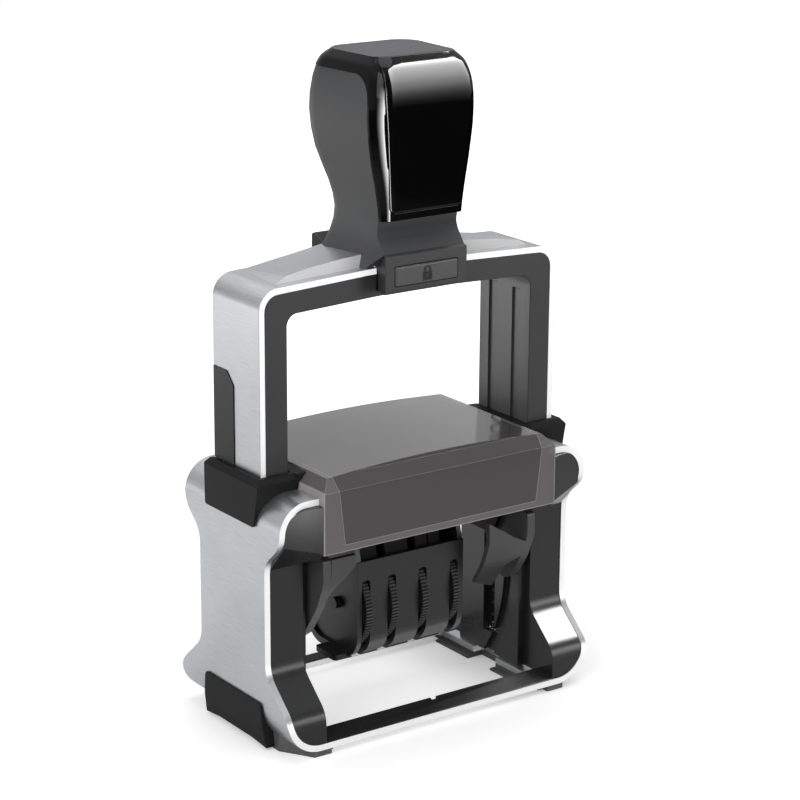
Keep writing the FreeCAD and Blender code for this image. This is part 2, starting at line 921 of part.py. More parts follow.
# The index window is a clear smoke moulding over the top and the front. It pushes down
# between the columns, and the dark index card lies right under it.
def make_window():
    finish(hood("window", 0, size("window_gauge"), size("window_skirt")), "index_window")
    under = hood("card", size("window_gauge"), size("card_gauge"), size("window_side"))
    face = body_named("card_face")
    sketch = sketch_on(face, "XZ_Plane", "card_outline")
    low = size("window_low") + 1.7
    narrow = column_inside - 7.2
    wide = column_inside - 4
    bend = size("window_side") + 0.5
    top = size("window_apex") + 4.2
    outline(
        sketch,
        [(-narrow, low), (narrow, low), (wide, bend), (wide, top), (-wide, top), (-wide, bend)],
    )
    pad(face, sketch, 2 * size("window_front"), symmetric=True)
    strip = body_named("card_length")
    plan = sketch_on(strip, "XY_Plane", "card_plan", size("window_low"))
    rectangle(
        plan,
        -column_inside,
        column_inside,
        -size("window_front"),
        size("window_back") - 2,
    )
    pad(strip, plan, 30)
    card = common("card_cut", common("card_sides", under, face), strip)
    return finish(card, "index_card")


# The ink cassette is a tray that slides out at the back on the two runners. Its felt pad
# faces down and lies level with the rim.
def make_cassette():
    body = body_named("ink_cassette")
    low = pad_face()
    ledge = runner_level() + size("running_gap")
    flange_top = ledge + size("cassette_wall")
    narrow = column_inside - size("runner_reach") - 0.3
    wide = column_inside - 0.5
    half_depth = size("cassette_half_depth")
    section = sketch_on(body, "XZ_Plane", "tray_section")
    right = [
        (narrow, low),
        (narrow, ledge),
        (wide, ledge),
        (wide, flange_top),
        (narrow, flange_top),
        (narrow, size("cassette_top"), 1),
    ]
    left = [(-corner[0],) + corner[1:] for corner in reversed(right)]
    outline(section, right + left)
    pad(body, section, 2 * half_depth, symmetric=True)
    well = sketch_on(body, "XY_Plane", "pad_well", low)
    pad_half = (imprint_half + size("pad_margin"))
    pad_depth = (size("imprint_depth") / 2 + size("pad_margin"))
    rectangle(well, -pad_half, pad_half, -pad_depth, pad_depth, 1)
    pocket(body, well, size("pad_thick"), reverse=True)
    grip = sketch_on(body, "XY_Plane", "grip_plan", low)
    rectangle(grip, -12, 12, half_depth - 1, half_depth + 3.2, 0.9)
    pad(body, grip, 1.6)
    finish(body, "ink_cassette")
    felt = body_named("ink_pad")
    plan = sketch_on(felt, "XY_Plane", "pad_plan", low)
    rectangle(plan, -pad_half, pad_half, -pad_depth, pad_depth, 1)
    pad(felt, plan, size("pad_thick"))
    return finish(felt, "ink_pad")


def arch_corners(inset, low):
    """The arch seen from the front, inset from its outside, from leg to leg."""
    half = leg_outside - inset
    apex = arch_top - inset
    corner = apex - size("arch_crown")
    bend = size("arch_round") - inset
    return [
        (half, low),
        (half, corner, bend),
        (0, apex, size("crown_round")),
        (-half, corner, bend),
        (-half, low),
    ]


def window_corners(low):
    """The opening of the arch seen from the front, as arch_corners gives its outside."""
    apex = window_top
    corner = apex - size("window_crown")
    bend = size("window_round")
    return [
        (leg_inside, low),
        (leg_inside, corner, bend),
        (0, apex, size("crown_round")),
        (-leg_inside, corner, bend),
        (-leg_inside, low),
    ]


def notch_for_lock(body):
    """Cuts the front and the rear of the arch back where the lock blocks sit."""
    seat = size("block_seat")
    for side in (-1, 1):
        sketch = sketch_on(body, "XZ_Plane", "lock_seat", -side * seat)
        half = size("block_notch")
        rectangle(sketch, -half, half, block_low, arch_top + 6)
        pocket(body, sketch, size("arch_depth"), reverse=side < 0)


# The arch shell is a second strip of brushed steel, bent over the black frame of the arch.
def make_arch_shell():
    body = body_named("arch_shell")
    low = size("leg_bottom") + size("shell_short")
    section = sketch_on(body, "XZ_Plane", "band_section")
    outer = arch_corners(0, low)
    inner = arch_corners(size("arch_gauge"), low)
    outline(section, outer + inner[::-1])
    pad(body, section, size("arch_depth"), symmetric=True)
    notch_for_lock(body)
    return finish(body, "arch_shell")


# The arch frame is the black moulding under the steel: two legs that run down into the
# columns, each bored for its return spring and axle pin, and the beam under the handle.
def make_arch_frame():
    body = body_named("arch_frame")
    low = size("leg_bottom")
    section = sketch_on(body, "XZ_Plane", "frame_section")
    outline(section, arch_corners(size("arch_gauge"), low) + window_corners(low)[::-1])
    pad(body, section, size("arch_depth"), symmetric=True)
    notch_for_lock(body)
    bore_radius = size("spring_radius") + size("spring_gap")
    bore_depth = spring_top() - low
    for side in (-1, 1):
        bore = sketch_on(body, "XY_Plane", "spring_bore", low)
        circle(bore, side * spring_at, size("spring_back"), bore_radius)
        pocket(body, bore, bore_depth, reverse=True)
        hole = sketch_on(body, "YZ_Plane", "axle_hole", side * leg_inside)
        circle(hole, 0, rest_axle, size("axle_radius"))
        pocket(body, hole, pin_seat(), reverse=side > 0)
        for row in (-1, 1):
            groove = sketch_on(body, "YZ_Plane", "leg_groove", side * leg_inside)
            middle = row * size("groove_spacing") / 2
            half = size("groove_width") / 2
            rectangle(groove, middle - half, middle + half, low + 8, window_top - 6)
            pocket(body, groove, size("leg_groove_depth"), reverse=side > 0)
    return finish(body, "arch_frame")


def spring_top():
    """Where the return springs end inside the legs."""
    return floor_top + size("frame_floor") + size("spring_length")


def pin_seat():
    """How deep the axle pins sit in the legs."""
    return size("arch_gauge") * 2


# The shoulders are the two raised fins that run from the handle out along the arch.
def make_arch_shoulder():
    body = body_named("shoulder_loft")
    base = window_top
    front = size("arch_depth") / 2 - 1.8
    back = size("arch_depth") / 2
    start = size("block_half")
    run = leg_outside - size("arch_round") - start
    # share of the way out, ridge and rear edge above the arch
    profile = [
        (1.0, -2.2, -2.2),
        (0.85, 0.0, -1.5),
        (0.6, 1.15, -0.55),
        (0.25, 2.05, 0.75),
        (0.0, 2.5, 1.8),
    ]
    profile = [(start + share * run, arch_top + ridge, arch_top + rear) for share, ridge, rear in profile]
    sections = []
    for number, (across, ridge, rear) in enumerate(profile):
        sketch = sketch_on(body, "YZ_Plane", "section_%d" % number, across)
        outline(sketch, [(-front, base), (-front + 1.4, ridge), (back, rear), (back, base)])
        sections.append(sketch)
    loft = body.newObject("PartDesign::AdditiveLoft", "shoulder_form")
    loft.Profile = sections[0]
    loft.Sections = sections[1:]
    loft.Ruled = True
    shaped = cut("shoulder_over_band", body, arch_blank())
    clear = cut("shoulder_beside_grip", shaped, handle_form())
    return finish_pair(cut("shoulder_beside_lock", clear, lock_prism()), "arch_shoulder")


made = {}


def once(name, maker):
    """Builds a shared tool shape once and hands it out again after that."""
    if name not in made:
        made[name] = maker()
    return made[name]


def arch_blank():
    """The arch filled in, to cut what sits on top of it."""

    def build():
        body = body_named("arch_blank")
        section = sketch_on(body, "XZ_Plane", "filled_section")
        outline(section, arch_corners(0, size("leg_bottom")))
        pad(body, section, size("arch_depth") * 2, symmetric=True)
        return body

    return once("arch_blank", build)


def lock_prism():
    """The space of both lock blocks, out to their faces."""

    def build():
        front = body_named("lock_space_front")
        sketch = sketch_on(front, "YZ_Plane", "block_side")
        outline(sketch, block_side(-1))
        pad(front, sketch, 2 * size("block_half"), symmetric=True)
        rear = doc.addObject("Part::Mirroring", "lock_space_rear")
        rear.Source = front
        rear.Normal = FreeCAD.Vector(0, 1, 0)
        return fuse("lock_space", front, rear)

    return once("lock_prism", build)


def block_side(side):
    """The side view of a lock block. Its top slopes up to the ledge under the neck."""
    seat = size("block_seat")
    front = size("block_front")
    return [
        (side * seat, block_low),
        (side * front, block_low, 1),
        (side * front, block_top - 0.5),
        (side * (front - size("block_ledge")), block_top),
        (side * (size("arch_depth") / 2 + 0.1), arch_top),
        (side * seat, arch_top),
    ]


# The handle is waisted like a rubber-stamp grip. One lofted form gives the matt grip, the
# gloss cap over its front and top and the inset panel, which are cut apart along the seams.
# Each row is a share of the height, then the half widths of the body and of its front face,
# the setback of the front face, the depth of the rear and the radius of the rear corners.
HANDLE_ROWS = [
    (-0.04, 15.2, 12.4, 1.9, 14.0, 5.0),
    (0.11, 12.4, 11.4, 1.6, 11.0, 5.2),
    (0.235, 12.0, 11.2, 1.2, 9.7, 5.6),
    (0.36, 13.1, 11.5, 0.7, 11.3, 6.3),
    (0.52, 15.1, 12.2, 0.25, 14.8, 7.0),
    (0.7, 16.3, 12.9, 0.0, 16.2, 7.8),
    (0.86, 15.8, 12.7, 0.25, 15.2, 7.6),
    (0.955, 14.3, 11.9, 2.0, 13.2, 6.8),
    (1.0, 12.4, 10.6, 4.4, 10.2, 5.6),
]


def handle_row(number, share):
    """A row on the smooth curve between two listed ones, at a share of the way up."""
    last = len(HANDLE_ROWS) - 1

    def slope(at):
        below = HANDLE_ROWS[max(at - 1, 0)]
        above = HANDLE_ROWS[min(at + 1, last)]
        return [(high - low) / (above[0] - below[0]) for low, high in zip(below, above)]

    low = HANDLE_ROWS[number]
    high = HANDLE_ROWS[number + 1]
    span = high[0] - low[0]
    row = []
    for start, end, leave, arrive in zip(low, high, slope(number), slope(number + 1)):
        rise = share * share * (3 - 2 * share)
        bow = share * (1 - share)
        row.append(start + (end - start) * rise + span * bow * (leave * (1 - share) - arrive * share))
    return row


def handle_form():
    def build():
        body = body_named("handle_form")
        front = size("handle_front")
        low = arch_top
        rise = size("handle_height") - low
        rows = [HANDLE_ROWS[0]]
        for number in range(len(HANDLE_ROWS) - 1):
            rows.append(handle_row(number, 0.5))
            rows.append(HANDLE_ROWS[number + 1])
        sections = []
        for number, (share, half, panel, setback, back, bend) in enumerate(rows):
            sketch = sketch_on(body, "XY_Plane", "section_%02d" % number, low + share * rise)
            face = front - setback
            cheek = panel + 0.62 * (half - panel)
            outline(
                sketch,
                [
                    (-panel, -face),
                    (panel, -face),
                    (cheek, 3.7 - face),
                    (half, back, bend),
                    (-half, back, bend),
                    (-cheek, 3.7 - face),
                ],
            )
            sections.append(sketch)
        loft = body.newObject("PartDesign::AdditiveLoft", "handle_loft")
        loft.Profile = sections[0]
        loft.Sections = sections[1:]
        loft.Ruled = True
        return body

    return once("handle_form", build)


def panel_space(name, gap):
    """The space of the inset panel, with a gap all round it, from the chin to the top."""
    far = size("handle_front") + 6
    behind = size("handle_front") - size("panel_gauge")
    top = size("handle_height")
    edge = behind - 2.9 - gap
    depth = body_named("%s_depth" % name)
    side_view = sketch_on(depth, "YZ_Plane", "%s_side_view" % name)
    outline(
        side_view,
        [
            (-far, arch_top),
            (-behind, arch_top),
            (-behind, top - 7, 5),
            (-edge, top - 1.7),
            (-edge, top + 4),
            (-far, top + 4),
        ],
    )
    pad(depth, side_view, 2 * far, symmetric=True)
    low = arch_top + size("panel_rise") - gap
    narrow = size("panel_half_low") + gap
    wide = size("panel_half_top") + gap
    width = body_named("%s_width" % name)
    front_view = sketch_on(width, "XZ_Plane", "%s_front_view" % name)
    right = [(narrow, low, 1.4), (wide, top - 9, 40), (wide - 0.9, top + 5)]
    left = [(-corner[0],) + corner[1:] for corner in reversed(right)]
    outline(front_view, [(0, low - 0.9, 60)] + right + left)
    pad(width, front_view, far)
    return common(name, depth, width)


def make_handle():
    form = handle_form()
    seam = body_named("cap_side")
    sketch = sketch_on(seam, "YZ_Plane", "seam")
    split = -(size("handle_front") - size("cap_depth"))
    level = size("handle_height") - size("cap_height")
    chin = arch_top + size("chin_rise")
    far = size("handle_front") + 6
    outline(
        sketch,
        [
            (-far, chin + 4),
            (split - 3.4, chin + 0.5, 1.5),
            (split, chin),
            (split, level, 6),
            (far, level),
            (far, level + 12),
            (-far, level + 12),
        ],
    )
    pad(seam, sketch, 2 * far, symmetric=True)
    whole_cap = common("whole_cap", form, seam)
    bed = panel_space("panel_bed", size("panel_gap"))
    finish(cut("cap_without_panel", whole_cap, bed), "handle_cap")
    finish(common("panel_from_cap", whole_cap, panel_space("panel_space", 0)), "handle_panel")
    space = body_named("space_before_grip")
    sketch = sketch_on(space, "YZ_Plane", "grip_front")
    neck = size("neck_front")
    outline(
        sketch,
        [
            (-far, arch_top - 14),
            (-size("arch_depth") / 2 - 0.1, arch_top - 14),
            (-size("arch_depth") / 2 - 0.1, arch_top),
            (size("block_ledge") - size("block_front"), block_top),
            (-neck, block_top + 4.6, 4),
            (split, chin),
            (split, level, 6),
            (far, level),
            (far, level + 12),
            (-far, level + 12),
        ],
    )
    pad(space, sketch, 2 * far, symmetric=True)
    grip = cut("grip_without_cap", form, space)
    seated = cut("grip_on_arch", grip, arch_blank())
    return finish(cut("grip_beside_lock", seated, lock_prism()), "handle_grip")


# The lock blocks sit on the arch in front of and behind the neck. The button in each block
# slides inward to hold the stamp shut.
def make_lock():
    body = body_named("lock_block")
    sketch = sketch_on(body, "YZ_Plane", "block_outline")
    outline(sketch, block_side(-1))
    half = size("block_half")
    pad(body, sketch, 2 * half, symmetric=True)
    gap = size("button_gap")
    front = size("block_front")
    depth = size("button_thick") - size("button_proud") + size("button_travel") + gap
    recess = sketch_on(body, "XZ_Plane", "button_recess", front)
    wide = size("button_half") + gap
    rectangle(recess, -wide, wide, button_low - gap, button_high + gap, 0.6)
    pocket(body, recess, depth)
    low = block_low
    seat = size("block_seat")
    for side in (-1, 1):
        hand = "left" if side < 0 else "right"
        corner = sketch_on(body, "XZ_Plane", "lower_corner_%s" % hand)
        ends = [(half - 1.4, low), (half, low + 2.2), (half + 1, low - 1)]
        outline(corner, [(side * across, up) for across, up in ends])
        pocket(body, corner, 2 * front)
        taper = sketch_on(body, "XY_Plane", "side_taper_%s" % hand, low - 1)
        narrow = half - size("block_taper")
        ends = [(half, -front), (half + 1, -front), (half + 1, 0.1 - seat), (narrow, 0.1 - seat)]
        outline(taper, [(side * across, up) for across, up in ends])
        pocket(body, taper, 3 * front, reverse=True)
    finish(body, "lock_block_front")
    finish(mirror(body, "lock_block_rear", (0, 1, 0)), "lock_block_rear")
    button = body_named("lock_button")
    face = sketch_on(button, "XZ_Plane", "button_face", front + size("button_proud"))
    wide = size("button_half")
    rectangle(face, -wide, wide, button_low, button_high, 0.6)
    pad(button, face, size("button_thick"), reverse=True)
    finish(button, "lock_button_front")
    return finish(mirror(button, "lock_button_rear", (0, 1, 0)), "lock_button_rear")


# The ribs on the outside of the legs keep the arch straight in the collars.
def make_leg_rib():
    body = body_named("leg_rib")
    sketch = sketch_on(body, "YZ_Plane", "rib_outline", leg_outside)
    front = size("rib_front")
    back = size("rib_back")
    top = size("rib_top")
    low = size("rib_low")
    outline(
        sketch,
        [(front, low), (back, low), (back, top), (front + 3, top, 1), (front, top - 3.2, 1)],
    )
    pad(body, sketch, size("rib_gauge"))
    return finish_pair(body, "leg_rib")


# The return springs stand on the base inside the legs and push the arch up. Each is drawn
# as the sleeve that its coils fill.
def make_return_spring():
    body = body_named("return_spring")
    low = floor_top + size("frame_floor")
    sketch = sketch_on(body, "XY_Plane", "coil_plan", low)
    circle(sketch, spring_at, size("spring_back"), size("spring_radius"))
    inner = size("spring_radius") - size("spring_wire")
    circle(sketch, spring_at, size("spring_back"), inner)
    pad(body, sketch, size("spring_length"))
    return finish_pair(body, "return_spring")


# The axle pins are pressed into the legs and carry the turning unit on their inner ends.
def make_axle_pin():
    start = imprint_half + 0.8
    pin = rod("axle_pin", start, leg_inside + pin_seat(), 0, rest_axle, size("axle_radius"))
    return finish_pair(pin, "axle_pin")


# Places of the turning unit across the stamp.
cheek_at = imprint_half + 0.6
lever_at = cheek_at + size("cheek_gauge")
lever_end = lever_at + size("lever_gauge")
die_face = rest_axle + size("die_reach")
plate_top = die_face - size("rubber_height")
plate_low = plate_top - size("die_plate_gauge")
deck_low = plate_low - size("deck_gauge")
wheel_height = rest_axle - size("wheel_drop")
bearing = size("axle_radius") + size("running_gap")


# The text plate is rubber, with raised lines round the printing area and round the date
# window. The die plate behind it snaps onto the deck of the turning unit.
def make_plates():
    across = imprint_half
    depth = size("imprint_depth") / 2
    window = size("date_window")
    opening = size("bridge_radius") + size("band_gauge") + 0.3
    rubber = body_named("text_plate")
    plan = sketch_on(rubber, "XY_Plane", "plate_plan", plate_top)
    rectangle(plan, -across, across, -depth, depth, 0.8)
    rectangle(plan, -window, window, -opening, opening)
    pad(rubber, plan, size("rubber_height"))
    relief = 0.7
    border = 0.9
    field = sketch_on(rubber, "XY_Plane", "relief", die_face)
    rectangle(field, border - across, across - border, border - depth, depth - border, 0.6)
    rectangle(field, -window - border, window + border, -opening - border, opening + border)
    pocket(rubber, field, relief)
    for row in (-1, 1):
        for line, length in ((6.4, 0.62), (10.2, 0.8)):
            rule = sketch_on(rubber, "XY_Plane", "printing_line", die_face)
            half = length * across
            middle = row * line
            rectangle(rule, -half, half, middle - 0.4, middle + 0.4)
            pad(rubber, rule, relief, reverse=True)
    finish(rubber, "text_plate")
    plate = body_named("die_plate")
    rim = size("die_plate_edge")
    plan = sketch_on(plate, "XY_Plane", "plate_plan", plate_low)
    rectangle(plan, -across - rim, across + rim, -depth - rim, depth + rim, 1)
    rectangle(plan, -window, window, -opening, opening)
    pad(plate, plan, size("die_plate_gauge"))
    finish(plate, "die_plate")
    deck = body_named("unit_deck")
    half = size("deck_depth") / 2
    plan = sketch_on(deck, "XY_Plane", "deck_plan", deck_low)
    rectangle(plan, -cheek_at, cheek_at, -half, half, 1.5)
    rectangle(plan, -window, window, -opening - 1, opening + 1)
    pad(deck, plan, size("deck_gauge"))
    return finish(deck, "unit_deck")


# The side plates of the turning unit stand on the deck and turn on the axle pins.
def make_cheek():
    body = body_named("unit_cheek")
    sketch = sketch_on(body, "YZ_Plane", "cheek_outline", cheek_at)
    half = size("deck_depth") / 2 - 1
    outline(
        sketch,
        [
            (-half, plate_low, 1),
            (-half, deck_low - 1, 1),
            (-6.2, rest_axle - 6.4, 3),
            (6.2, rest_axle - 6.4, 3),
            (half, deck_low - 1, 1),
            (half, plate_low, 1),
        ],
    )
    circle(sketch, 0, rest_axle, bearing)
    pad(body, sketch, size("cheek_gauge"))
    return finish_pair(body, "unit_cheek")


# The lever plates on the cheeks hold the guide pins that follow the cam grooves. Their
# front edges are round about the axle. The left lever has a long tail and a short web, the
# right one ends under its long web.
def make_lever():
    boss = size("guide_pin_radius") + 1.2
    top = rest_axle + size("guide_arm")
    reach = size("lever_reach")
    upper = [
        (boss, top + boss, 1.8),
        (-boss, top + boss, 1.8),
        (-7.4, rest_axle + 5, 4),
        (0.4 - reach, rest_axle + 2.4, 0.8),
        (0.2 - reach, rest_axle - 3.4, 8),
        (3.2 - reach, rest_axle - 10.4, 14),
        (8.8 - reach, rest_axle - 18.6, 4),
    ]
    short_tail = [(-5.6, rest_axle - 15.6, 2), (-2.2, rest_axle - 7.4, 4), (4.9, rest_axle - 4, 4)]
    long_tail = [
        (-1.4, rest_axle - 25.2, 1.2),
        (9.2, rest_axle - 24.0, 1.2),
        (4.9, rest_axle - 2, 6),
    ]
    plates = []
    for name, tail in (("short_plate", short_tail), ("long_plate", long_tail)):
        plate = body_named(name)
        sketch = sketch_on(plate, "YZ_Plane", "%s_outline" % name, lever_at)
        outline(sketch, upper + tail)
        circle(sketch, 0, rest_axle, bearing)
        circle(sketch, 0, top, size("guide_pin_radius"))
        pad(plate, sketch, size("lever_gauge"))
        plates.append(plate)
    long_web = [
        (17.6, rest_axle + 2.2),
        (25.8, rest_axle - 3, 1),
        (lever_at, rest_axle - 5),
        (lever_at, rest_axle - 9.5),
        (25.6, rest_axle - 11.5, 1),
        (25.1, rest_axle - 18.4),
        (18.2, rest_axle - 15.6),
    ]
    short_web = [
        (22.7, rest_axle + 2.4),
        (22.7, rest_axle - 0.2, 1),
        (28.4, rest_axle - 5.2, 5),
        (lever_at, rest_axle - 8),
        (lever_at, rest_axle + 2.4),
    ]
    right = fuse("lever_with_long_web", plates[0], lever_web("long_web", long_web))
    finish(right, "turn_lever_right")
    short = fuse("lever_with_short_web", plates[1], lever_web("short_web", short_web))
    finish(mirror(short, "turn_lever_left"), "turn_lever_left")
    stop = plate_inside + size("groove_depth") - 0.2
    pin = rod("guide_pin", lever_at, stop, 0, top, size("guide_pin_radius"))
    return finish_pair(pin, "guide_pin")


def lever_web(name, corners):
    """A strip along the front edge of a lever, cut to its corners as seen from the front."""
    strip = body_named("%s_strip" % name)
    sketch = sketch_on(strip, "YZ_Plane", "%s_edge" % name, size("housing_half"))
    reach = size("lever_reach")
    thick = size("web_gauge")
    edge = [
        (0.2 - reach, rest_axle + 2.4),
        (0.2 - reach, rest_axle - 3.4, 8),
        (3.2 - reach, rest_axle - 10.4, 14),
        (8.8 - reach, rest_axle - 18.6),
    ]
    behind = [(corner[0] + thick,) + corner[1:] for corner in reversed(edge)]
    outline(sketch, edge + behind)
    pad(strip, sketch, lever_at + 0.2 - size("housing_half"))
    face = body_named("%s_face" % name)
    sketch = sketch_on(face, "XZ_Plane", "%s_outline" % name)
    outline(sketch, corners)
    pad(face, sketch, reach + 1)
    return common(name, strip, face)


# The index housing hangs under the deck. It is a narrow box with a round bottom and four
# slots that the thumbwheels reach through.
def make_housing():
    body = body_named("unit_housing")
    half = size("housing_half")
    front = -size("housing_front")
    back = size("housing_back")
    low = rest_axle - size("housing_reach")
    top = size("housing_top")
    wall = size("housing_wall")
    bend = size("housing_round")
    side_view = sketch_on(body, "YZ_Plane", "housing_side")
    outline(side_view, [(front, top), (front, low, bend), (back, low, bend), (back, top)])
    pad(body, side_view, 2 * half, symmetric=True)
    ears = sketch_on(body, "YZ_Plane", "ear_outline")
    outline(ears, [(front, top - 2), (back, top - 2), (back - 4, deck_low), (front + 3, deck_low)])
    pad(body, ears, 2 * half, symmetric=True)
    hollow = sketch_on(body, "YZ_Plane", "hollow_side")
    inner = bend - wall
    outline(
        hollow,
        [
            (front + wall, deck_low + 1),
            (front + wall, low + wall, inner),
            (back - wall, low + wall, inner),
            (back - wall, deck_low + 1),
        ],
    )
    pocket(body, hollow, 2 * (half - wall), symmetric=True)
    for side in (-1, 1):
        rim = sketch_on(body, "YZ_Plane", "end_recess", side * half)
        edge = wall + 0.4
        outline(
            rim,
            [
                (front + edge, top - 5, 2),
                (front + edge, low + edge, bend - edge),
                (back - edge, low + edge, bend - edge),
                (back - edge, top - 5, 2),
            ],
        )
        pocket(body, rim, 0.6 * wall, reverse=side < 0)
    trim = sketch_on(body, "YZ_Plane", "open_top")
    outline(
        trim,
        [(front - 1, top), (back + 1, top), (back + 1, deck_low + 1), (front - 1, deck_low + 1)],
    )
    pocket(body, trim, 2 * (half - wall), symmetric=True)
    flange = sketch_on(body, "XY_Plane", "flange_plan", low)
    reach = size("flange_half")
    side = size("flange_depth") / 2
    rectangle(flange, -reach, reach, -side, side - 3, 1)
    pad(body, flange, wall)
    for number in WHEELS:
        slot = sketch_on(body, "XZ_Plane", "wheel_slot_%d" % number, 1)
        middle = size("wheel_%d_at" % number)
        reach = size("rim_width") / 2 + size("slot_gap")
        outline(
            slot,
            [
                (middle - reach, low - 1),
                (middle + reach, low - 1),
                (middle + reach, size("slot_top"), 1),
                (middle - reach, size("slot_top"), 1),
            ],
        )
        pocket(body, slot, reverse=True)
    axle = sketch_on(body, "YZ_Plane", "wheel_axle_hole")
    circle(axle, -size("wheel_offset"), wheel_height, size("wheel_axle_radius"))
    pocket(body, axle, 2 * half + 2, symmetric=True)
    finish(body, "unit_housing")
    end = half + 0.6
    axle = rod("wheel_axle", -end, end, -size("wheel_offset"), wheel_height, size("wheel_axle_radius"))
    finish(axle, "wheel_axle")
    bar = rod(
        "band_bridge",
        -size("date_window"),
        size("date_window"),
        0,
        bridge_height(),
        size("bridge_radius"),
    )
    return finish(bar, "band_bridge")


def bridge_height():
    """Centre of the bar that holds the date bands level with the text plate."""
    return die_face - size("band_gauge") - size("bridge_radius")


# Each thumbwheel has a ribbed rim that shows in its slot and a drum beside it that drives
# its date band. The four turn on one axle, each on its own.
WHEELS = {1: 1, 2: 1, 3: 1, 4: -1}
TEETH = 36


def drum_ends(number):
    """Where the drum of a wheel starts and ends, on the side that its rim leaves free."""
    side = WHEELS[number]
    middle = size("wheel_%d_at" % number)
    near = middle + side * size("rim_width") / 2
    far = near + side * size("drum_%d_width" % number)
    return (near, far) if side > 0 else (far, near)


def make_thumbwheel(number):
    body = body_named("thumbwheel_%d" % number)
    middle = size("wheel_%d_at" % number)
    offset = -size("wheel_offset")
    rim = sketch_on(body, "YZ_Plane", "rim", middle - size("rim_width") / 2)
    circle(rim, offset, wheel_height, size("wheel_radius"))
    pad(body, rim, size("rim_width"))
    left, right = drum_ends(number)
    drum = sketch_on(body, "YZ_Plane", "drum", left)
    circle(drum, offset, wheel_height, size("drum_radius"))
    pad(body, drum, right - left)
    bore = sketch_on(body, "YZ_Plane", "bore")
    circle(bore, offset, wheel_height, size("wheel_axle_radius") + size("running_gap"))
    pocket(body, bore, 4 * size("housing_half"), symmetric=True)
    gap = sketch_on(body, "YZ_Plane", "rib_gap", middle - size("rim_width") / 2)
    edge = size("wheel_radius")
    half = size("wheel_radius") * math.pi / TEETH / 2
    depth = size("tooth_depth")
    outline(
        gap,
        [
            (offset - 0.6 * half, wheel_height + edge - depth),
            (offset + 0.6 * half, wheel_height + edge - depth),
            (offset + half, wheel_height + edge + 0.5),
            (offset - half, wheel_height + edge + 0.5),
        ],
    )
    cutter = pocket(body, gap, size("rim_width"), reverse=True)
    centre = sketch_on(body, "YZ_Plane", "pattern_axis")
    line = Part.LineSegment(flat(offset, wheel_height), flat(offset, wheel_height + edge))
    drawn = centre.addGeometry(line, False)
    hold(centre, pin_point(drawn, 1, offset, wheel_height) + pin_point(drawn, 2, offset, wheel_height + edge))
    ring = body.newObject("PartDesign::PolarPattern", "ribs")
    ring.Originals = [cutter]
    ring.Axis = (centre, ["N_Axis"])
    ring.Angle = 360
    ring.Occurrences = TEETH
    body.Tip = ring
    return finish(body, "thumbwheel_%d" % number)


# The date bands are flat rubber belts, each run over the bridge and the drum of its wheel.
def make_date_band(number):
    body = body_named("date_band_%d" % number)
    left, right = drum_ends(number)
    margin = 0.15
    for step, extra in (("outside", size("band_gauge")), ("inside", 0)):
        sketch = sketch_on(body, "YZ_Plane", step, left + margin)
        top = size("bridge_radius") + extra
        bottom = size("drum_radius") + size("band_gap") + extra
        belt(sketch, (0, bridge_height(), top), (-size("wheel_offset"), wheel_height, bottom))
        if step == "outside":
            pad(body, sketch, right - left - 2 * margin)
        else:
            pocket(body, sketch, right - left - 2 * margin, reverse=True)
    return finish(body, "date_band_%d" % number)


def belt(sketch, first, second):
    """The closed line of a belt round two circles, each (across, up, radius)."""
    top = flat(first[0], first[1])
    bottom = flat(second[0], second[1])
    small = number_of(first[2])
    large = number_of(second[2])
    along = (top - bottom).normalize()
    square = FreeCAD.Vector(-along.y, along.x, 0)
    lean = math.asin((large - small) / (top - bottom).Length)
    left = square * math.cos(lean) + along * math.sin(lean)
    right = square * -math.cos(lean) + along * math.sin(lean)
    normal = FreeCAD.Vector(0, 0, 1)
    angle = [math.atan2(side.y, side.x) for side in (left, right)]
    upper = Part.ArcOfCircle(Part.Circle(top, normal, small), angle[1], angle[0])
    lower = Part.ArcOfCircle(Part.Circle(bottom, normal, large), angle[0], angle[1])
    over = sketch.addGeometry(upper, False)
    under = sketch.addGeometry(lower, False)
    left_line = Part.LineSegment(top + left * small, bottom + left * large)
    right_line = Part.LineSegment(bottom + right * large, top + right * small)
    down = sketch.addGeometry(left_line, False)
    back = sketch.addGeometry(right_line, False)
    held = [
        (Sketcher.Constraint("Tangent", over, 2, down, 1), None),
        (Sketcher.Constraint("Tangent", down, 2, under, 1), None),
        (Sketcher.Constraint("Tangent", under, 2, back, 1), None),
        (Sketcher.Constraint("Tangent", back, 2, over, 1), None),
        (Sketcher.Constraint("Radius", over, small), first[2]),
        (Sketcher.Constraint("Radius", under, large), second[2]),
    ]
    hold(sketch, held + pin_point(over, 3, first[0], first[1]) + pin_point(under, 3, second[0], second[1]))


make_base_shell()
make_base_frame()
make_guide_plate()
make_collar()
make_foot_cover()
make_foot_rail()
make_window()
make_cassette()
make_arch_shell()
make_arch_frame()
make_arch_shoulder()
make_handle()
make_lock()
make_leg_rib()
make_return_spring()
make_axle_pin()
make_plates()
make_cheek()
make_lever()
make_housing()
for wheel in WHEELS:
    make_thumbwheel(wheel)
    make_date_band(wheel)

doc.recompute()

broken = [item.Name for item in doc.Objects if "Invalid" in item.State or "Error" in item.State]
if broken:
    raise RuntimeError("features that failed: %s" % ", ".join(broken))
for piece in subparts:
    if piece.Shape.isNull() or not piece.Shape.isValid():
        raise RuntimeError("piece without a valid shape: %s" % piece.Label)

os.makedirs("parts", exist_ok=True)
for piece in subparts:
    piece.Shape.exportStep("parts/%s.step" % piece.Label)
    print(piece.Label, len(piece.Shape.Solids), round(piece.Shape.Volume, 1))
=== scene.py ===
import bmesh
import bpy
import math
from mathutils import Matrix, Vector


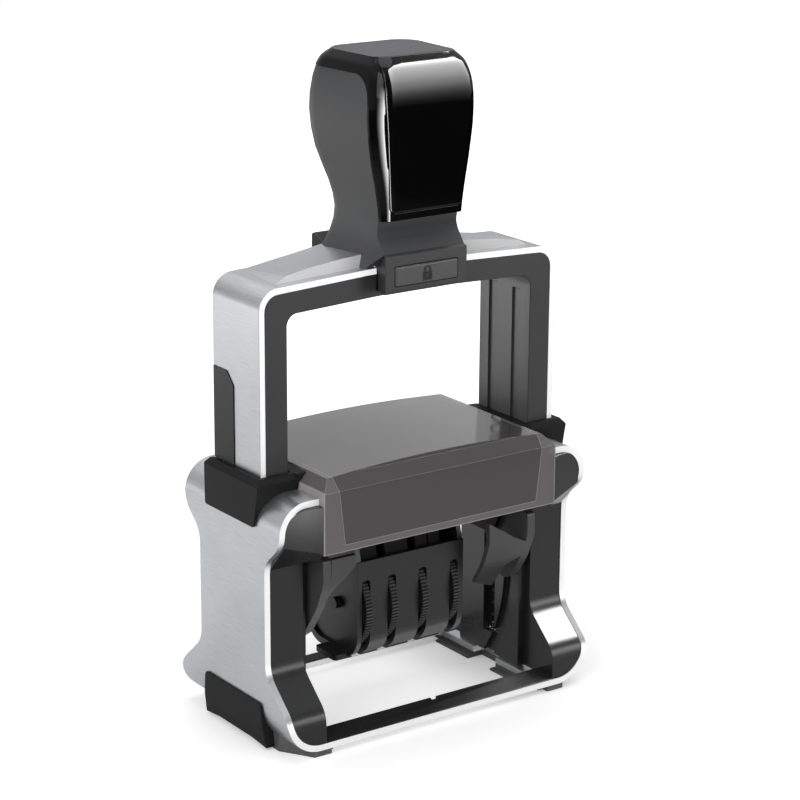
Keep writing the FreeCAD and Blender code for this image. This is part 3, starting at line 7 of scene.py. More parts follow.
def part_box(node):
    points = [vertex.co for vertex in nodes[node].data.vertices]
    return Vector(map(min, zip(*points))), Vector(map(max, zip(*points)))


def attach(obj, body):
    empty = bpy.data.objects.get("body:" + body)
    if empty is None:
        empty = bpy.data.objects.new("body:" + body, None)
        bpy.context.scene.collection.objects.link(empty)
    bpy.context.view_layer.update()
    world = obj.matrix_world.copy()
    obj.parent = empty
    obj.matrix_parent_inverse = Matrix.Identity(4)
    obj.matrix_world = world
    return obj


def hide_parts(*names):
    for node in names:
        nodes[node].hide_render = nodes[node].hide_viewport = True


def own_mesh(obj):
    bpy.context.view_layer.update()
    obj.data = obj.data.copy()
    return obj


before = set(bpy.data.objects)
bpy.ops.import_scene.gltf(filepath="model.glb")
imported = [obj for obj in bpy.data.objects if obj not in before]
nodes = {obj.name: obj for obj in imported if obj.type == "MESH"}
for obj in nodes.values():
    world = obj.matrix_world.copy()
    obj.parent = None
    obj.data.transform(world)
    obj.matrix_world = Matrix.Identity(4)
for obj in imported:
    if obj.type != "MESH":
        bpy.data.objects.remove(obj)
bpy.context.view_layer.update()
MM = 0.001


# Bent steel bands: the waisted base, the arch and its two raised shoulders. Stainless
# strip, brushed from front to rear after bending. The cut edges face the front and the rear;
# their colour is painted near white and part matt there, a painted highlight for their polish.
class Wire:
    """One output in a material's node tree. Sums of wires and numbers add Math nodes."""

    def __init__(self, paint, socket):
        self.paint = paint
        self.socket = socket

    def math(self, operation, *terms):
        inputs = dict(enumerate(terms))
        return self.paint.node("ShaderNodeMath", {"operation": operation}, inputs)

    def __add__(self, other):
        return self.math("ADD", self, other)

    def __radd__(self, other):
        return self.math("ADD", other, self)

    def __sub__(self, other):
        return self.math("SUBTRACT", self, other)

    def __rsub__(self, other):
        return self.math("SUBTRACT", other, self)

    def __mul__(self, other):
        return self.math("MULTIPLY", self, other)

    def __rmul__(self, other):
        return self.math("MULTIPLY", other, self)

    def __truediv__(self, other):
        return self.math("DIVIDE", self, other)

    def __abs__(self):
        return self.math("ABSOLUTE", self)

    def most(self, other):
        return self.math("MAXIMUM", self, other)

    def least(self, other):
        return self.math("MINIMUM", self, other)

    def step(self, low, high):
        """0 below low and 1 above high, with a smooth rise between them."""
        return self.paint.node(
            "ShaderNodeMapRange",
            {"interpolation_type": "SMOOTHSTEP"},
            {"Value": self, "From Min": low, "From Max": high},
        )


class Paint:
    """A material that is being mixed: its node tree and the one method that adds nodes."""

    def __init__(self, name):
        self.material = bpy.data.materials.new(name)
        self.material.use_nodes = True
        self.tree = self.material.node_tree
        self.tree.nodes.clear()

    @classmethod
    def on(cls, tree):
        """Mixes in a tree that is already there, such as a lamp's or the world's."""
        paint = cls.__new__(cls)
        paint.tree = tree
        tree.nodes.clear()
        return paint

    def node(self, kind, settings=None, inputs=None, out=0):
        """Adds a node: its settings first, then the values or links of its sockets."""
        made = self.tree.nodes.new(kind)
        for key, value in (settings or {}).items():
            setattr(made, key, value)
        for key, value in (inputs or {}).items():
            if isinstance(value, Wire):
                self.tree.links.new(value.socket, made.inputs[key])
            else:
                made.inputs[key].default_value = value
        return Wire(self, made.outputs[out]) if made.outputs else made

    def place(self, scale=(1, 1, 1)):
        """The place on the object in millimetres, stretched by scale."""
        where = self.node("ShaderNodeTexCoord", out="Object")
        factor = [s / MM for s in scale]
        return self.node(
            "ShaderNodeVectorMath", {"operation": "MULTIPLY"}, {0: where, 1: factor}
        )

    def axes(self, vector):
        parts = self.node("ShaderNodeSeparateXYZ", None, {0: vector})
        outputs = parts.socket.node.outputs
        return [Wire(self, output) for output in outputs]

    def noise(self, scale, stretch=(1, 1, 1), detail=3.0, rough=0.5):
        return self.node(
            "ShaderNodeTexNoise",
            None,
            {
                "Vector": self.place(stretch),
                "Scale": scale,
                "Detail": detail,
                "Roughness": rough,
            },
        )

    def mix(self, share, first, second):
        return self.node(
            "ShaderNodeMix",
            {"data_type": "RGBA"},
            {0: share, 6: colour(first), 7: colour(second)},
            out=2,
        )

    def bump(self, height, strength, distance):
        return self.node(
            "ShaderNodeBump",
            None,
            {"Height": height, "Strength": strength, "Distance": distance * MM},
        )

    def finish(self, **inputs):
        """Closes the material with a Principled shader: base_color=..., roughness=..."""
        named = {}
        for key, value in inputs.items():
            named[key.replace("_", " ").title().replace("Ior", "IOR")] = value
        shader = self.node("ShaderNodeBsdfPrincipled", None, named)
        self.node("ShaderNodeOutputMaterial", None, {"Surface": shader})
        return self.material


def colour(value):
    return value if isinstance(value, Wire) else (*value, 1)


def dress(material, *names):
    """Gives CAD nodes their material."""
    for name in names:
        slots = nodes[name].material_slots
        for slot in slots:
            slot.material = material


def tidy_group():
    """A node group that joins the split corners of a CAD mesh and shades it smooth."""
    group = bpy.data.node_groups.new("tidy_mesh", "GeometryNodeTree")
    for way in ("INPUT", "OUTPUT"):
        group.interface.new_socket("Geometry", in_out=way, socket_type="NodeSocketGeometry")
    start = group.nodes.new("NodeGroupInput")
    plain = group.nodes.new("GeometryNodeRemoveAttribute")
    plain.inputs["Name"].default_value = "custom_normal"
    join = group.nodes.new("GeometryNodeMergeByDistance")
    join.inputs["Distance"].default_value = 0.002 * MM
    smooth = group.nodes.new("GeometryNodeSetShadeSmooth")
    end = group.nodes.new("NodeGroupOutput")
    chain = [start, plain, join, smooth, end]
    for first, second in zip(chain, chain[1:]):
        group.links.new(first.outputs[0], second.inputs[0])
    return group


TIDY = tidy_group()


def soften(width, *names, angle=32, flat=0.4, segments=2):
    """Breaks the sharp edges of CAD nodes by a small round of this width."""
    for name in names:
        piece = nodes[name]
        join = piece.modifiers.new("join", "NODES")
        join.node_group = TIDY
        if flat:
            merge = piece.modifiers.new("flat_faces", "DECIMATE")
            merge.decimate_type = "DISSOLVE"
            merge.angle_limit = math.radians(flat)
        edge = piece.modifiers.new("edges", "BEVEL")
        edge.width = width * MM
        edge.segments = segments
        edge.limit_method = "ANGLE"
        edge.angle_limit = math.radians(angle)
        edge.harden_normals = True
        edge.use_clamp_overlap = True


steel = Paint("brushed_steel")
hair = steel.noise(1.0, (7.0, 0.16, 7.0), 4.0, 0.62)
cloud = steel.noise(0.045, (1, 0.6, 1), 2.0)
across = abs(steel.axes(steel.node("ShaderNodeNewGeometry", out="Normal"))[1])
# Painted highlight: faces that look to the front or rear, the cut edges, get a near white, less
# metallic colour.
painted_edge_highlight = across.step(0.86, 0.97)
tone = (hair - 0.5) * 1.5 + (cloud - 0.5) * 0.7 + 0.5
band_tone = steel.mix(tone, (0.5, 0.508, 0.52), (0.76, 0.768, 0.78))
steel_look = steel.finish(
    base_color=steel.mix(painted_edge_highlight, band_tone, (0.93, 0.93, 0.935)),
    metallic=1 - 0.7 * painted_edge_highlight,
    roughness=0.3 + 0.16 * hair - 0.05 * painted_edge_highlight,
    normal=steel.bump(hair, 0.35, 0.02),
)
dress(steel_look, "base_shell", "arch_shell", "arch_shoulder_left", "arch_shoulder_right")
soften(0.12, "base_shell", "arch_shell", angle=40)


# Moulded frames inside both bands, with the plates that guide the turning unit. Glass
# filled nylon, satin, with a fine spark-eroded grain.
def plastic(name, shade, rough, grain, sheen=0.5, scale=1.6):
    """A moulded plastic: an even colour with flow clouding and a fine tool grain."""
    paint = Paint(name)
    pores = paint.noise(scale * 2.2, detail=2.0)
    flow = paint.noise(0.05, detail=3.0)
    darker = [0.8 * part for part in shade]
    lighter = [1.18 * part for part in shade]
    return paint.finish(
        base_color=paint.mix(flow * 0.7 + pores * 0.3, darker, lighter),
        roughness=rough - 0.05 + 0.1 * flow + 0.06 * pores,
        specular_ior_level=sheen,
        normal=paint.bump(pores, grain, 0.03),
    )


frame_look = plastic("satin_frame", (0.013, 0.0133, 0.0142), 0.22, 0.025, 0.4)
dress(frame_look, "base_frame", "guide_plate_left", "guide_plate_right")
# The arch's frame is the same nylon painted lighter: painted light for its inner faces.
arch_frame_lit_look = plastic("arch_frame_painted_light", (0.036, 0.0365, 0.0385), 0.34, 0.1, 0.4)
dress(arch_frame_lit_look, "arch_frame")
soften(0.3, "base_frame", "arch_frame")
soften(0.15, "guide_plate_left", "guide_plate_right")

# Collars on the shoulders and covers at the feet. They snap over the band and hide its
# cut-outs. Same black as the frame, in a coarser matt grain.
trim_look = plastic("matt_trim", (0.011, 0.0112, 0.0118), 0.46, 0.25, 0.14, 1.2)
dress(trim_look, "collar_left", "collar_right", "foot_cover_left", "foot_cover_right")
soften(0.3, "collar_left", "collar_right", "foot_cover_left", "foot_cover_right")
dress(trim_look, "leg_rib_left", "leg_rib_right")
soften(0.12, "leg_rib_left", "leg_rib_right")

# Rails that the base stands on: strips along both sides of its opening, moulded in a grey
# translucent plastic that is soft, so that the stamp doesn't slip or scratch the desk.
rail = Paint("smoky_rail")
rail_cloud = rail.noise(0.4, detail=2.0)
rail_look = rail.finish(
    base_color=rail.mix(rail_cloud, (0.1, 0.1, 0.104), (0.16, 0.16, 0.165)),
    roughness=0.28 + 0.14 * rail_cloud,
    transmission_weight=0.3,
    ior=1.48,
    normal=rail.bump(rail_cloud, 0.15, 0.04),
)
dress(rail_look, "foot_rail_left", "foot_rail_right")
soften(0.2, "foot_rail_left", "foot_rail_right")

# Clear smoke window over the top and the front, snapped on over the dark index card. Its
# colour is painted darker over the card and paler beside it, for the light that passes
# through, with a painted highlight along the card's edge and at the rim.
card_low, card_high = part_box("index_card")
window = Paint("smoke_window")
at_x, at_y, at_z = window.axes(window.place())
slant = (card_high.z / MM - at_z) * 0.12
card_half = card_high.x / MM
beside = (card_half - abs(at_x) - slant.least(2.6)).step(-0.05, 0.2)
above = (at_z - card_low.z / MM).step(-0.05, 0.2)
over_card = beside * above
# Painted highlight along the card's edge.
card_edge_highlight = (1 - abs(over_card - 0.5) * 2).step(0.2, 0.9)
window_low, window_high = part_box("index_window")
# Painted highlight along the window's rim, for the light its clear edges catch.
rim = (abs(at_x) - window_high.x / MM).step(-0.45, -0.1)
rim = rim.most((window_low.z / MM - at_z).step(-0.4, -0.1))
rim = rim.most((at_y - window_high.y / MM).step(-0.4, -0.1))
# Painted see-through: darker over the card, paler beside it where light passes.
painted_through_tone = window.mix(over_card, (0.15, 0.139, 0.141), (0.062, 0.0575, 0.058))
window_look = window.finish(
    base_color=window.mix(card_edge_highlight.most(rim * 0.9), painted_through_tone, (0.42, 0.405, 0.41)),
    roughness=0.16 - 0.03 * over_card,
    alpha=0.8 + 0.14 * over_card,
    ior=1.49,
)
dress(window_look, "index_window")
soften(0.7, "index_window", angle=20, segments=4)
card = Paint("index_card_board")
fibre = card.noise(2.5, detail=4.0)
card_look = card.finish(
    base_color=card.mix(fibre, (0.055, 0.05, 0.051), (0.075, 0.069, 0.07)),
    roughness=0.6 + 0.1 * fibre,
    normal=card.bump(fibre, 0.2, 0.02),
)
dress(card_look, "index_card")

# Ink cassette: a moulded tray that slides in from the rear, with an ink-soaked felt pad
# that faces down. The felt is cut from sheet and swells a little between its edges.
tray_look = plastic("tray_moulding", (0.018, 0.0185, 0.02), 0.4, 0.15)
dress(tray_look, "ink_cassette")
soften(0.25, "ink_cassette")
felt = Paint("inked_felt")
wool = felt.noise(5.0, (1, 1, 1), 6.0, 0.7)
felt_look = felt.finish(
    base_color=felt.mix(wool, (0.006, 0.007, 0.016), (0.022, 0.024, 0.045)),
    roughness=0.62 + 0.2 * wool,
    normal=felt.bump(wool, 0.8, 0.12),
)

# How far an edge may turn, in degrees, and still be shaded smooth.
EVEN, CREASE = 180, 35


def built(name, maker, sharp=None):
    """A mesh from a function that fills a bmesh, shaded smooth where sharp is given."""
    mesh = bpy.data.meshes.new(name)
    form = bmesh.new()
    maker(form)
    bmesh.ops.recalc_face_normals(form, faces=form.faces)
    form.to_mesh(mesh)
    form.free()
    if sharp:
        smooth(mesh, sharp)
    return mesh


def smooth(mesh, sharp):
    """Shades a mesh smooth, apart from the edges that turn by more than sharp degrees."""
    for polygon in mesh.polygons:
        polygon.use_smooth = True
    if sharp < EVEN:
        mesh.set_sharp_from_angle(angle=math.radians(sharp))


def add_piece(name, mesh, material, body, replaced=()):
    """Gives a mesh its material and lets it ride on its body in place of CAD nodes."""
    mesh.materials.clear()
    mesh.materials.append(material)
    piece = bpy.data.objects.new(name, mesh)
    bpy.context.scene.collection.objects.link(piece)
    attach(piece, body)
    if replaced:
        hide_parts(*replaced)
    return piece


FELT_CROWN, FELT_STEPS = 0.5, 14


def crowned_block(form, low, high):
    """A flat pad whose lower face swells a little between its edges."""
    steps = FELT_STEPS
    rows = []
    for i in range(steps + 1):
        row = []
        for j in range(steps + 1):
            u, v = i / steps, j / steps
            swell = (1 - abs(2 * u - 1) ** 6) * (1 - abs(2 * v - 1) ** 6)
            x = low.x + (high.x - low.x) * u
            y = low.y + (high.y - low.y) * v
            row.append(form.verts.new((x, y, low.z + FELT_CROWN * MM * (1 - swell))))
        rows.append(row)
    for i in range(steps):
        for j in range(steps):
            form.faces.new((rows[i][j], rows[i + 1][j], rows[i + 1][j + 1], rows[i][j + 1]))
    grown = bmesh.ops.extrude_face_region(form, geom=form.faces[:])
    for item in grown["geom"]:
        if isinstance(item, bmesh.types.BMVert):
            item.co.z = high.z


pad_low, pad_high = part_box("ink_pad")
felt_mesh = built("ink_felt", lambda form: crowned_block(form, pad_low, pad_high), EVEN)
pad = add_piece("ink_felt", felt_mesh, felt_look, "ink_tray", ["ink_pad"])

# Turning unit: index housing, side plates with their levers, and the holder of the text
# plate. It flips over on its axle pins on the way down.
unit_look = plastic("unit_moulding", (0.012, 0.0122, 0.013), 0.32, 0.12, 0.4)
dress(unit_look, "unit_housing", "unit_deck", "die_plate", "band_bridge")
lever_look = plastic("lever_moulding", (0.05, 0.0505, 0.053), 0.36, 0.12)
dress(lever_look, "turn_lever_left", "turn_lever_right")
# The cheeks' near black is painted shade, for the shadow in the recess at the unit's ends.
cheek_shade_look = plastic("cheek_painted_shade", (0.005, 0.0051, 0.0054), 0.45, 0.12, 0.2)
dress(cheek_shade_look, "unit_cheek_left", "unit_cheek_right")
soften(0.2, "unit_housing", "unit_deck", "die_plate")
soften(0.25, "turn_lever_left", "turn_lever_right", "unit_cheek_left", "unit_cheek_right")

# Thumbwheels with the rubber date bands they carry, and the rubber text plate. The moulded
# wheels turn on one axle, and fine teeth round their rims give the thumb its hold.
RIM_MIDDLES = (-13.6, -5.8, 3.6, 13.3)
RIM_RADIUS, RIM_HALF_WIDTH, RIM_DEPTH = 11.8, 0.97, 1.2
RIM_TEETH, TOOTH_DEPTH, TOOTH_BEVEL = 84, 0.55, 0.16


def knurled_rim(form, middle, axle_y, axle_z):
    """A ring with fine straight teeth all round, over the rim of a thumbwheel."""
    tips = []
    for tooth in range(RIM_TEETH):
        for share, sunk in ((0.0, TOOTH_DEPTH), (0.16, 0), (0.5, 0), (0.66, TOOTH_DEPTH)):
            tips.append((2 * math.pi * (tooth + share) / RIM_TEETH, RIM_RADIUS - sunk))
    bore = [(angle, RIM_RADIUS - RIM_DEPTH) for angle, reach in tips]

    def ring(side, corners, less=0):
        row = []
        for angle, reach in corners:
            x = middle + side * RIM_HALF_WIDTH
            y = axle_y + (reach - less) * math.cos(angle)
            z = axle_z + (reach - less) * math.sin(angle)
            row.append(form.verts.new(Vector((x, y, z)) * MM))
        return row

    rows = [ring(-1, tips, TOOTH_BEVEL), ring(-0.88, tips), ring(0.88, tips)]
    rows += [ring(1, tips, TOOTH_BEVEL), ring(1, bore), ring(-1, bore)]
    joined(form, rows + [rows[0]])


def joined(form, rows):
    """Faces between closed rows of corners, from each row to the next."""
    for first, second in zip(rows, rows[1:]):
        for corner in range(len(first)):
            after = (corner + 1) % len(first)
            form.faces.new((first[corner], first[after], second[after], second[corner]))


wheel_look = plastic("wheel_moulding", (0.014, 0.0143, 0.015), 0.4, 0.15)
rubber_look = plastic("band_rubber", (0.03, 0.029, 0.028), 0.58, 0.3)
knurl = Paint("wheel_knurl")
_, knurl_y, knurl_z = knurl.axes(knurl.place())
wheel_low, wheel_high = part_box("thumbwheel_1")
wheel_y = (wheel_low.y + wheel_high.y) / 2 / MM
wheel_z = (wheel_low.z + wheel_high.z) / 2 / MM
off_y, off_z = knurl_y - wheel_y, knurl_z - wheel_z
squared = off_y * off_y + off_z * off_z
# Painted highlight and shade: the teeth's tips are lighter and the gaps between them near black.
tip_light_gap_shade = squared.math("SQRT", squared).step(RIM_RADIUS - 0.45, RIM_RADIUS - 0.05)
knurl_look = knurl.finish(
    base_color=knurl.mix(tip_light_gap_shade, (0.002, 0.002, 0.0021), (0.06, 0.061, 0.064)),
    roughness=0.42 - 0.1 * tip_light_gap_shade,
)
for number, middle in enumerate(RIM_MIDDLES, start=1):
    dress(wheel_look, "thumbwheel_%d" % number)
    dress(rubber_look, "date_band_%d" % number)
    name = "knurled_rim_%d" % number
    rim_mesh = built(name, lambda form: knurled_rim(form, middle, wheel_y, wheel_z))
    add_piece(name, rim_mesh, knurl_look, "wheel_%d" % number)
dress(wheel_look, "wheel_axle")
dress(rubber_look, "text_plate")

# Axle pins in the ends of the legs and guide pins in the lever plates, ground from steel
# rod and pressed in. The first carry the turning unit, and the others make it flip.
pin = Paint("ground_pin")
turned = pin.noise(1.0, (6, 1, 1), 3.0)
pin_look = pin.finish(
    base_color=pin.mix(turned, (0.5, 0.505, 0.51), (0.66, 0.665, 0.67)),
    metallic=1.0,
    roughness=0.24 + 0.14 * turned,
)
dress(pin_look, "axle_pin_left", "axle_pin_right", "guide_pin_left", "guide_pin_right")

# Handle: a waisted grip with a soft matt finish, a gloss cap snapped over its front and
# top, and a gloss panel let into the cap. The cap's top faces are painted a pale matt grey,
# a painted reflection on the gloss top.
grip_look = plastic("soft_grip", (0.047, 0.048, 0.0505), 0.46, 0.2, 0.55, 1.0)
dress(grip_look, "handle_grip")
gloss = Paint("piano_gloss")
flow = gloss.noise(0.04, detail=2.0)
haze = gloss.noise(3.0, detail=3.0)
gloss_look = gloss.finish(
    base_color=gloss.mix(flow, (0.0018, 0.0018, 0.002), (0.003, 0.003, 0.0033)),
    roughness=0.05 + 0.04 * haze,
    specular_ior_level=0.2,
    normal=gloss.bump(flow, 0.05, 0.3),
)
# Pale grey matt colour for the cap's top faces: a painted reflection.
crown_painted_reflection_look = plastic("crown_painted_reflection", (0.17, 0.171, 0.176), 0.5, 0.08, 0.0)
soften(0.35, "handle_grip", angle=30, flat=0)

# The cap and its panel are moulded with full rounds at the front corners. Each row of the
# handle's form is a share of the height, then the half widths of the body and of its front
# face, the setback of the front face, the depth of the rear and the rear corners' radius.
HANDLE_ROWS = [
    (-0.04, 15.2, 12.4, 1.9, 14.0, 5.0),
    (0.11, 12.4, 11.4, 1.6, 11.0, 5.2),
    (0.235, 12.0, 11.2, 1.2, 9.7, 5.6),
    (0.36, 13.1, 11.5, 0.7, 11.3, 6.3),
    (0.52, 15.1, 12.2, 0.25, 14.8, 7.0),
    (0.7, 16.3, 12.9, 0.0, 16.2, 7.8),
    (0.86, 15.8, 12.7, 0.25, 15.2, 7.6),
    (0.955, 14.3, 11.9, 2.0, 13.2, 6.8),
    (1.0, 12.4, 10.6, 4.4, 10.2, 5.6),
]
HANDLE_FRONT, HANDLE_LOW, HANDLE_TOP = 17.2, 115.5, 165.6
HANDLE_SHOULDER, LEVELS, TOP_LEVELS, CORNER_STEPS, REAR_STEPS = 160.0, 40, 14, 12, 8
CHEEK_SHARE, SIDE_START, ROUND_DEPTH = 0.62, 3.7, 5.0
CAP_LOW, CHIN_RISE, SEAM_Y, SEAM_Z, SEAM_ROUND = 121.0, 11.2, -12.5, 161.5, 6
PANEL_LOW, PANEL_BROADEST, PANEL_NARROW, PANEL_WIDE = 129.0, 156.6, 10.5, 12.6
PANEL_ROUND, PANEL_EDGE, PANEL_LEVELS = 1.4, 0.75, 26


def between_rows(height):
    """The handle's row at a height, on the smooth curve through the listed rows."""
    share = (height - HANDLE_LOW) / (HANDLE_TOP - HANDLE_LOW)
    last = len(HANDLE_ROWS) - 1
    number = max(i for i in range(last) if HANDLE_ROWS[i][0] <= share + 1e-9)

    def slope(at):
        below = HANDLE_ROWS[max(at - 1, 0)]
        above = HANDLE_ROWS[min(at + 1, last)]
        return [(high - low) / (above[0] - below[0]) for low, high in zip(below, above)]

    low, high = HANDLE_ROWS[number], HANDLE_ROWS[number + 1]
    span = high[0] - low[0]
    part = (share - low[0]) / span
    rise = part * part * (3 - 2 * part)
    row = []
    for start, end, leave, arrive in zip(low, high, slope(number), slope(number + 1)):
        bend = span * part * (1 - part) * (leave * (1 - part) - arrive * part)
        row.append(start + (end - start) * rise + bend)
    return row[1:]


def bezier(corners, count):
    """Points along the curve that four corners draw."""
    points = []
    for step in range(count + 1):
        t = step / count
        weights = ((1 - t) ** 3, 3 * t * (1 - t) ** 2, 3 * t * t * (1 - t), t ** 3)
        points.append(tuple(sum(w * c[k] for w, c in zip(weights, corners)) for k in (0, 1)))
    return points


def front_corner(height):
    """The round between the front face and the right side, as (x, y) points."""
    half, panel, setback, rear, _ = between_rows(height)
    face = HANDLE_FRONT - setback
    cheek = panel + CHEEK_SHARE * (half - panel)
    lean = (half - cheek) / (rear + face - SIDE_START)
    end = (cheek + (ROUND_DEPTH - SIDE_START) * lean, ROUND_DEPTH - face)
    curve = [(panel - 2.2, -face), (panel + 0.35, -face), (cheek + 0.2, 3.2 - face), end]
    return bezier(curve, CORNER_STEPS)


def handle_section(height):
    """The handle's outline at a height: front, round corners, sides and rear."""
    half, _, setback, rear, bend = between_rows(height)
    right = [(0, setback - HANDLE_FRONT)] + front_corner(height)
    right += arc(half - bend, rear - bend, bend, 0, 90, REAR_STEPS) + [(0, rear)]
    return right + [(-x, y) for x, y in reversed(right[1:-1])]


def arc(centre_x, centre_z, radius, start, end, count):
    """Points along an arc between two angles in degrees."""
    points = []
    for step in range(count + 1):
        angle = math.radians(start + (end - start) * step / count)
        points.append((centre_x + radius * math.cos(angle), centre_z + radius * math.sin(angle)))
    return points


def heights(low, high, count):
    """Evenly spread heights, with both ends."""
    return [low + (high - low) * step / count for step in range(count + 1)]


def stacked(form, rings):
    """Closed rings of points one above the other, with a face over each end."""
    rows = [[form.verts.new(Vector(point) * MM) for point in ring] for ring in rings]
    joined(form, rows)
    form.faces.new(list(reversed(rows[0])))
    form.faces.new(rows[-1])


def cap_blank(form):
    """The handle's whole form, with a slightly domed top."""
    levels = heights(CAP_LOW, HANDLE_SHOULDER, LEVELS)
    levels += heights(HANDLE_SHOULDER, HANDLE_TOP, TOP_LEVELS)[1:]
    rings = [[(x, y, z) for x, y in handle_section(z)] for z in levels]
    top = rings[-1]
    for shrink, lift in ((0.75, 0.16), (0.4, 0.32), (0.1, 0.38)):
        rings.append([(x * shrink, y * shrink, z + lift) for x, y, z in top])
    stacked(form, rings)


def cap_side(form):
    """The cap as seen from the side: ahead of the seam and above it, down to the chin."""
    chin = HANDLE_LOW + CHIN_RISE
    outline = [(-30, chin + 4), (SEAM_Y - 3.4, chin + 0.5), (SEAM_Y, chin)]
    outline += arc(SEAM_Y + SEAM_ROUND, SEAM_Z - SEAM_ROUND, SEAM_ROUND, 180, 90, 10)
    outline += [(30, SEAM_Z), (30, 180), (-30, 180)]
    stacked(form, [[(x, y, z) for y, z in outline] for x in (-25, 25)])


def panel_half(height):
    """Half of the panel's width at a height, with its round lower corners."""
    share = min(max((height - PANEL_LOW) / (PANEL_BROADEST - PANEL_LOW), 0), 1)
    width = PANEL_NARROW + (PANEL_WIDE - PANEL_NARROW) * (1.2 * share - 0.2 * share * share)
    if height > PANEL_BROADEST:
        width -= 0.9 * (height - PANEL_BROADEST) / 14
    width = min(width, front_corner(height)[-1][0] - PANEL_EDGE)
    left = PANEL_ROUND - max(height - PANEL_LOW, 0)
    if left > 0:
        width -= PANEL_ROUND - math.sqrt(max(PANEL_ROUND ** 2 - left ** 2, 0))
    return width


def front_at(corner, x):
    """How far forward the front face and its round lie at a distance from the middle."""
    for (x0, y0), (x1, y1) in zip(corner, corner[1:]):
        if x0 <= x <= x1:
            return y0 + (y1 - y0) * (x - x0) / (x1 - x0)
    return corner[0][1]


def panel_levels():
    """Heights of the panel's rows, close together at its round lower corners."""
    levels = [PANEL_LOW + up for up in (0, 0.1, 0.3, 0.6, 1.0)]
    levels += heights(PANEL_LOW + PANEL_ROUND, HANDLE_SHOULDER, PANEL_LEVELS)
    return levels + heights(HANDLE_SHOULDER, HANDLE_TOP, TOP_LEVELS)[1:]


def panel_bed(form):
    """The bed in the cap is wider than the panel by the seam all round it."""
    seam, deep, proud = 0.13, 1.0, 2.0
    rows = []
    levels = [PANEL_LOW - seam] + panel_levels()[1:] + [HANDLE_TOP + 1]
    for z in levels:
        held = min(max(z, PANEL_LOW), HANDLE_TOP)
        wide = panel_half(held) + seam
        corner = front_corner(held)
        shares = (1, 0.94, 0.86, 0.74, 0.5)
        behind = [(wide * share, front_at(corner, wide * share) + deep) for share in shares]
        behind += [(0, corner[0][1] + deep)]
        behind += [(-x, y) for x, y in reversed(behind[:-1])]
        front = corner[0][1] - proud
        rows.append([(x, y, z) for x, y in behind + [(-wide, front), (wide, front)]])
    stacked(form, rows)


def lofted_panel(form):
    """The panel follows the front face and turns down at its rim."""
    rows = []
    rim = ((0.0, 0.8), (0.0, 0.26), (0.09, 0.09), (0.26, 0.0))
    for z in panel_levels():
        corner = front_corner(z)
        wide = panel_half(z)
        up = z - PANEL_LOW
        drop = 0.22 * (1 - up / 0.3) ** 2 if up < 0.3 else 0.0
        places = [(wide - inset, sunk) for inset, sunk in rim]
        places += [(wide * share, 0.0) for share in (0.94, 0.86, 0.74, 0.55, 0.3)]
        half_row = [(x, front_at(corner, x) + sunk + drop) for x, sunk in places]
        whole = [(-x, y) for x, y in half_row] + [(0, corner[0][1] + drop)]
        rows.append([(x, y, z) for x, y in whole + list(reversed(half_row))])
    stacked(form, rows)


def solid(name, maker):
    """A blank or a cutter, which is only in the scene until the cut is made."""
    piece = bpy.data.objects.new(name, built(name, maker))
    bpy.context.scene.collection.objects.link(piece)
    return piece


def carved(blank, cuts):
    """The mesh of a blank after its cuts; the blank and the cutters are taken away."""
    for way, cutter in cuts:
        cutting = blank.modifiers.new(way.lower(), "BOOLEAN")
        cutting.operation = way
        cutting.solver = "EXACT"
        cutting.object = cutter
    bpy.context.view_layer.update()
    shape = blank.evaluated_get(bpy.context.evaluated_depsgraph_get())
    mesh = bpy.data.meshes.new_from_object(shape)
    for gone in [blank] + [cutter for way, cutter in cuts]:
        bpy.data.objects.remove(gone)
    return mesh


CROWN_UP = 0.94
cap_mesh = carved(
    solid("cap_blank", cap_blank),
    [
        ("INTERSECT", solid("cap_side", cap_side)),
        ("DIFFERENCE", solid("panel_bed", panel_bed)),
    ],
)
smooth(cap_mesh, CREASE)
cap = add_piece("gloss_cap", cap_mesh, gloss_look, "handle", ["handle_cap"])
# Faces that look up get the pale crown colour, a painted reflection.
cap_mesh.materials.append(crown_painted_reflection_look)
for polygon in cap_mesh.polygons:
    if polygon.normal.z > CROWN_UP:
        polygon.material_index = 1
panel_mesh = built("gloss_panel", lofted_panel, CREASE)
panel = add_piece(
    "gloss_panel", panel_mesh, gloss_look, "handle", ["handle_panel"]
)

# Lock buttons in their housings, front and rear. Both are moulded, the housings satin and
# the buttons glossy, and each button slides in its housing against a spring.
block_look = plastic("satin_block", (0.04, 0.0405, 0.0425), 0.36, 0.1, 0.4)
dress(block_look, "lock_block_front", "lock_block_rear")
soften(0.25, "lock_block_front", "lock_block_rear")
button_look = plastic("button_gloss", (0.075, 0.0755, 0.078), 0.25, 0.05, 0.5)
dress(button_look, "lock_button_front", "lock_button_rear")
soften(0.45, "lock_button_front", "lock_button_rear", segments=3)

# Padlock sign on both lock buttons: a plain raised pictogram, moulded with the button. Its
# face is painted darker than the button round it, a painted shade.
SIGN_HALF, SIGN_LOW, SIGN_MIDDLE, SIGN_HEIGHT = 1.3, -1.75, 0.3, 0.14
SHACKLE, SHACKLE_WIDTH, SHACKLE_UP = 0.95, 0.34, 0.85


def raised(form, loops, place, along):
    """Flat outlines with holes, raised from a face: loops are lists of (across, up)."""
    edges = []
    for loop in loops:
        corners = [form.verts.new((place.x + x * MM, place.y, place.z + z * MM)) for x, z in loop]
        for first, second in zip(corners, corners[1:] + corners[:1]):
            edges.append(form.edges.new((first, second)))
    made = bmesh.ops.triangle_fill(form, use_beauty=True, edges=edges)
    faces = [item for item in made["geom"] if isinstance(item, bmesh.types.BMFace)]
    grown = bmesh.ops.extrude_face_region(form, geom=faces)
    moved = [item for item in grown["geom"] if isinstance(item, bmesh.types.BMVert)]
    bmesh.ops.translate(form, verts=moved, vec=(0, along * SIGN_HEIGHT * MM, 0))


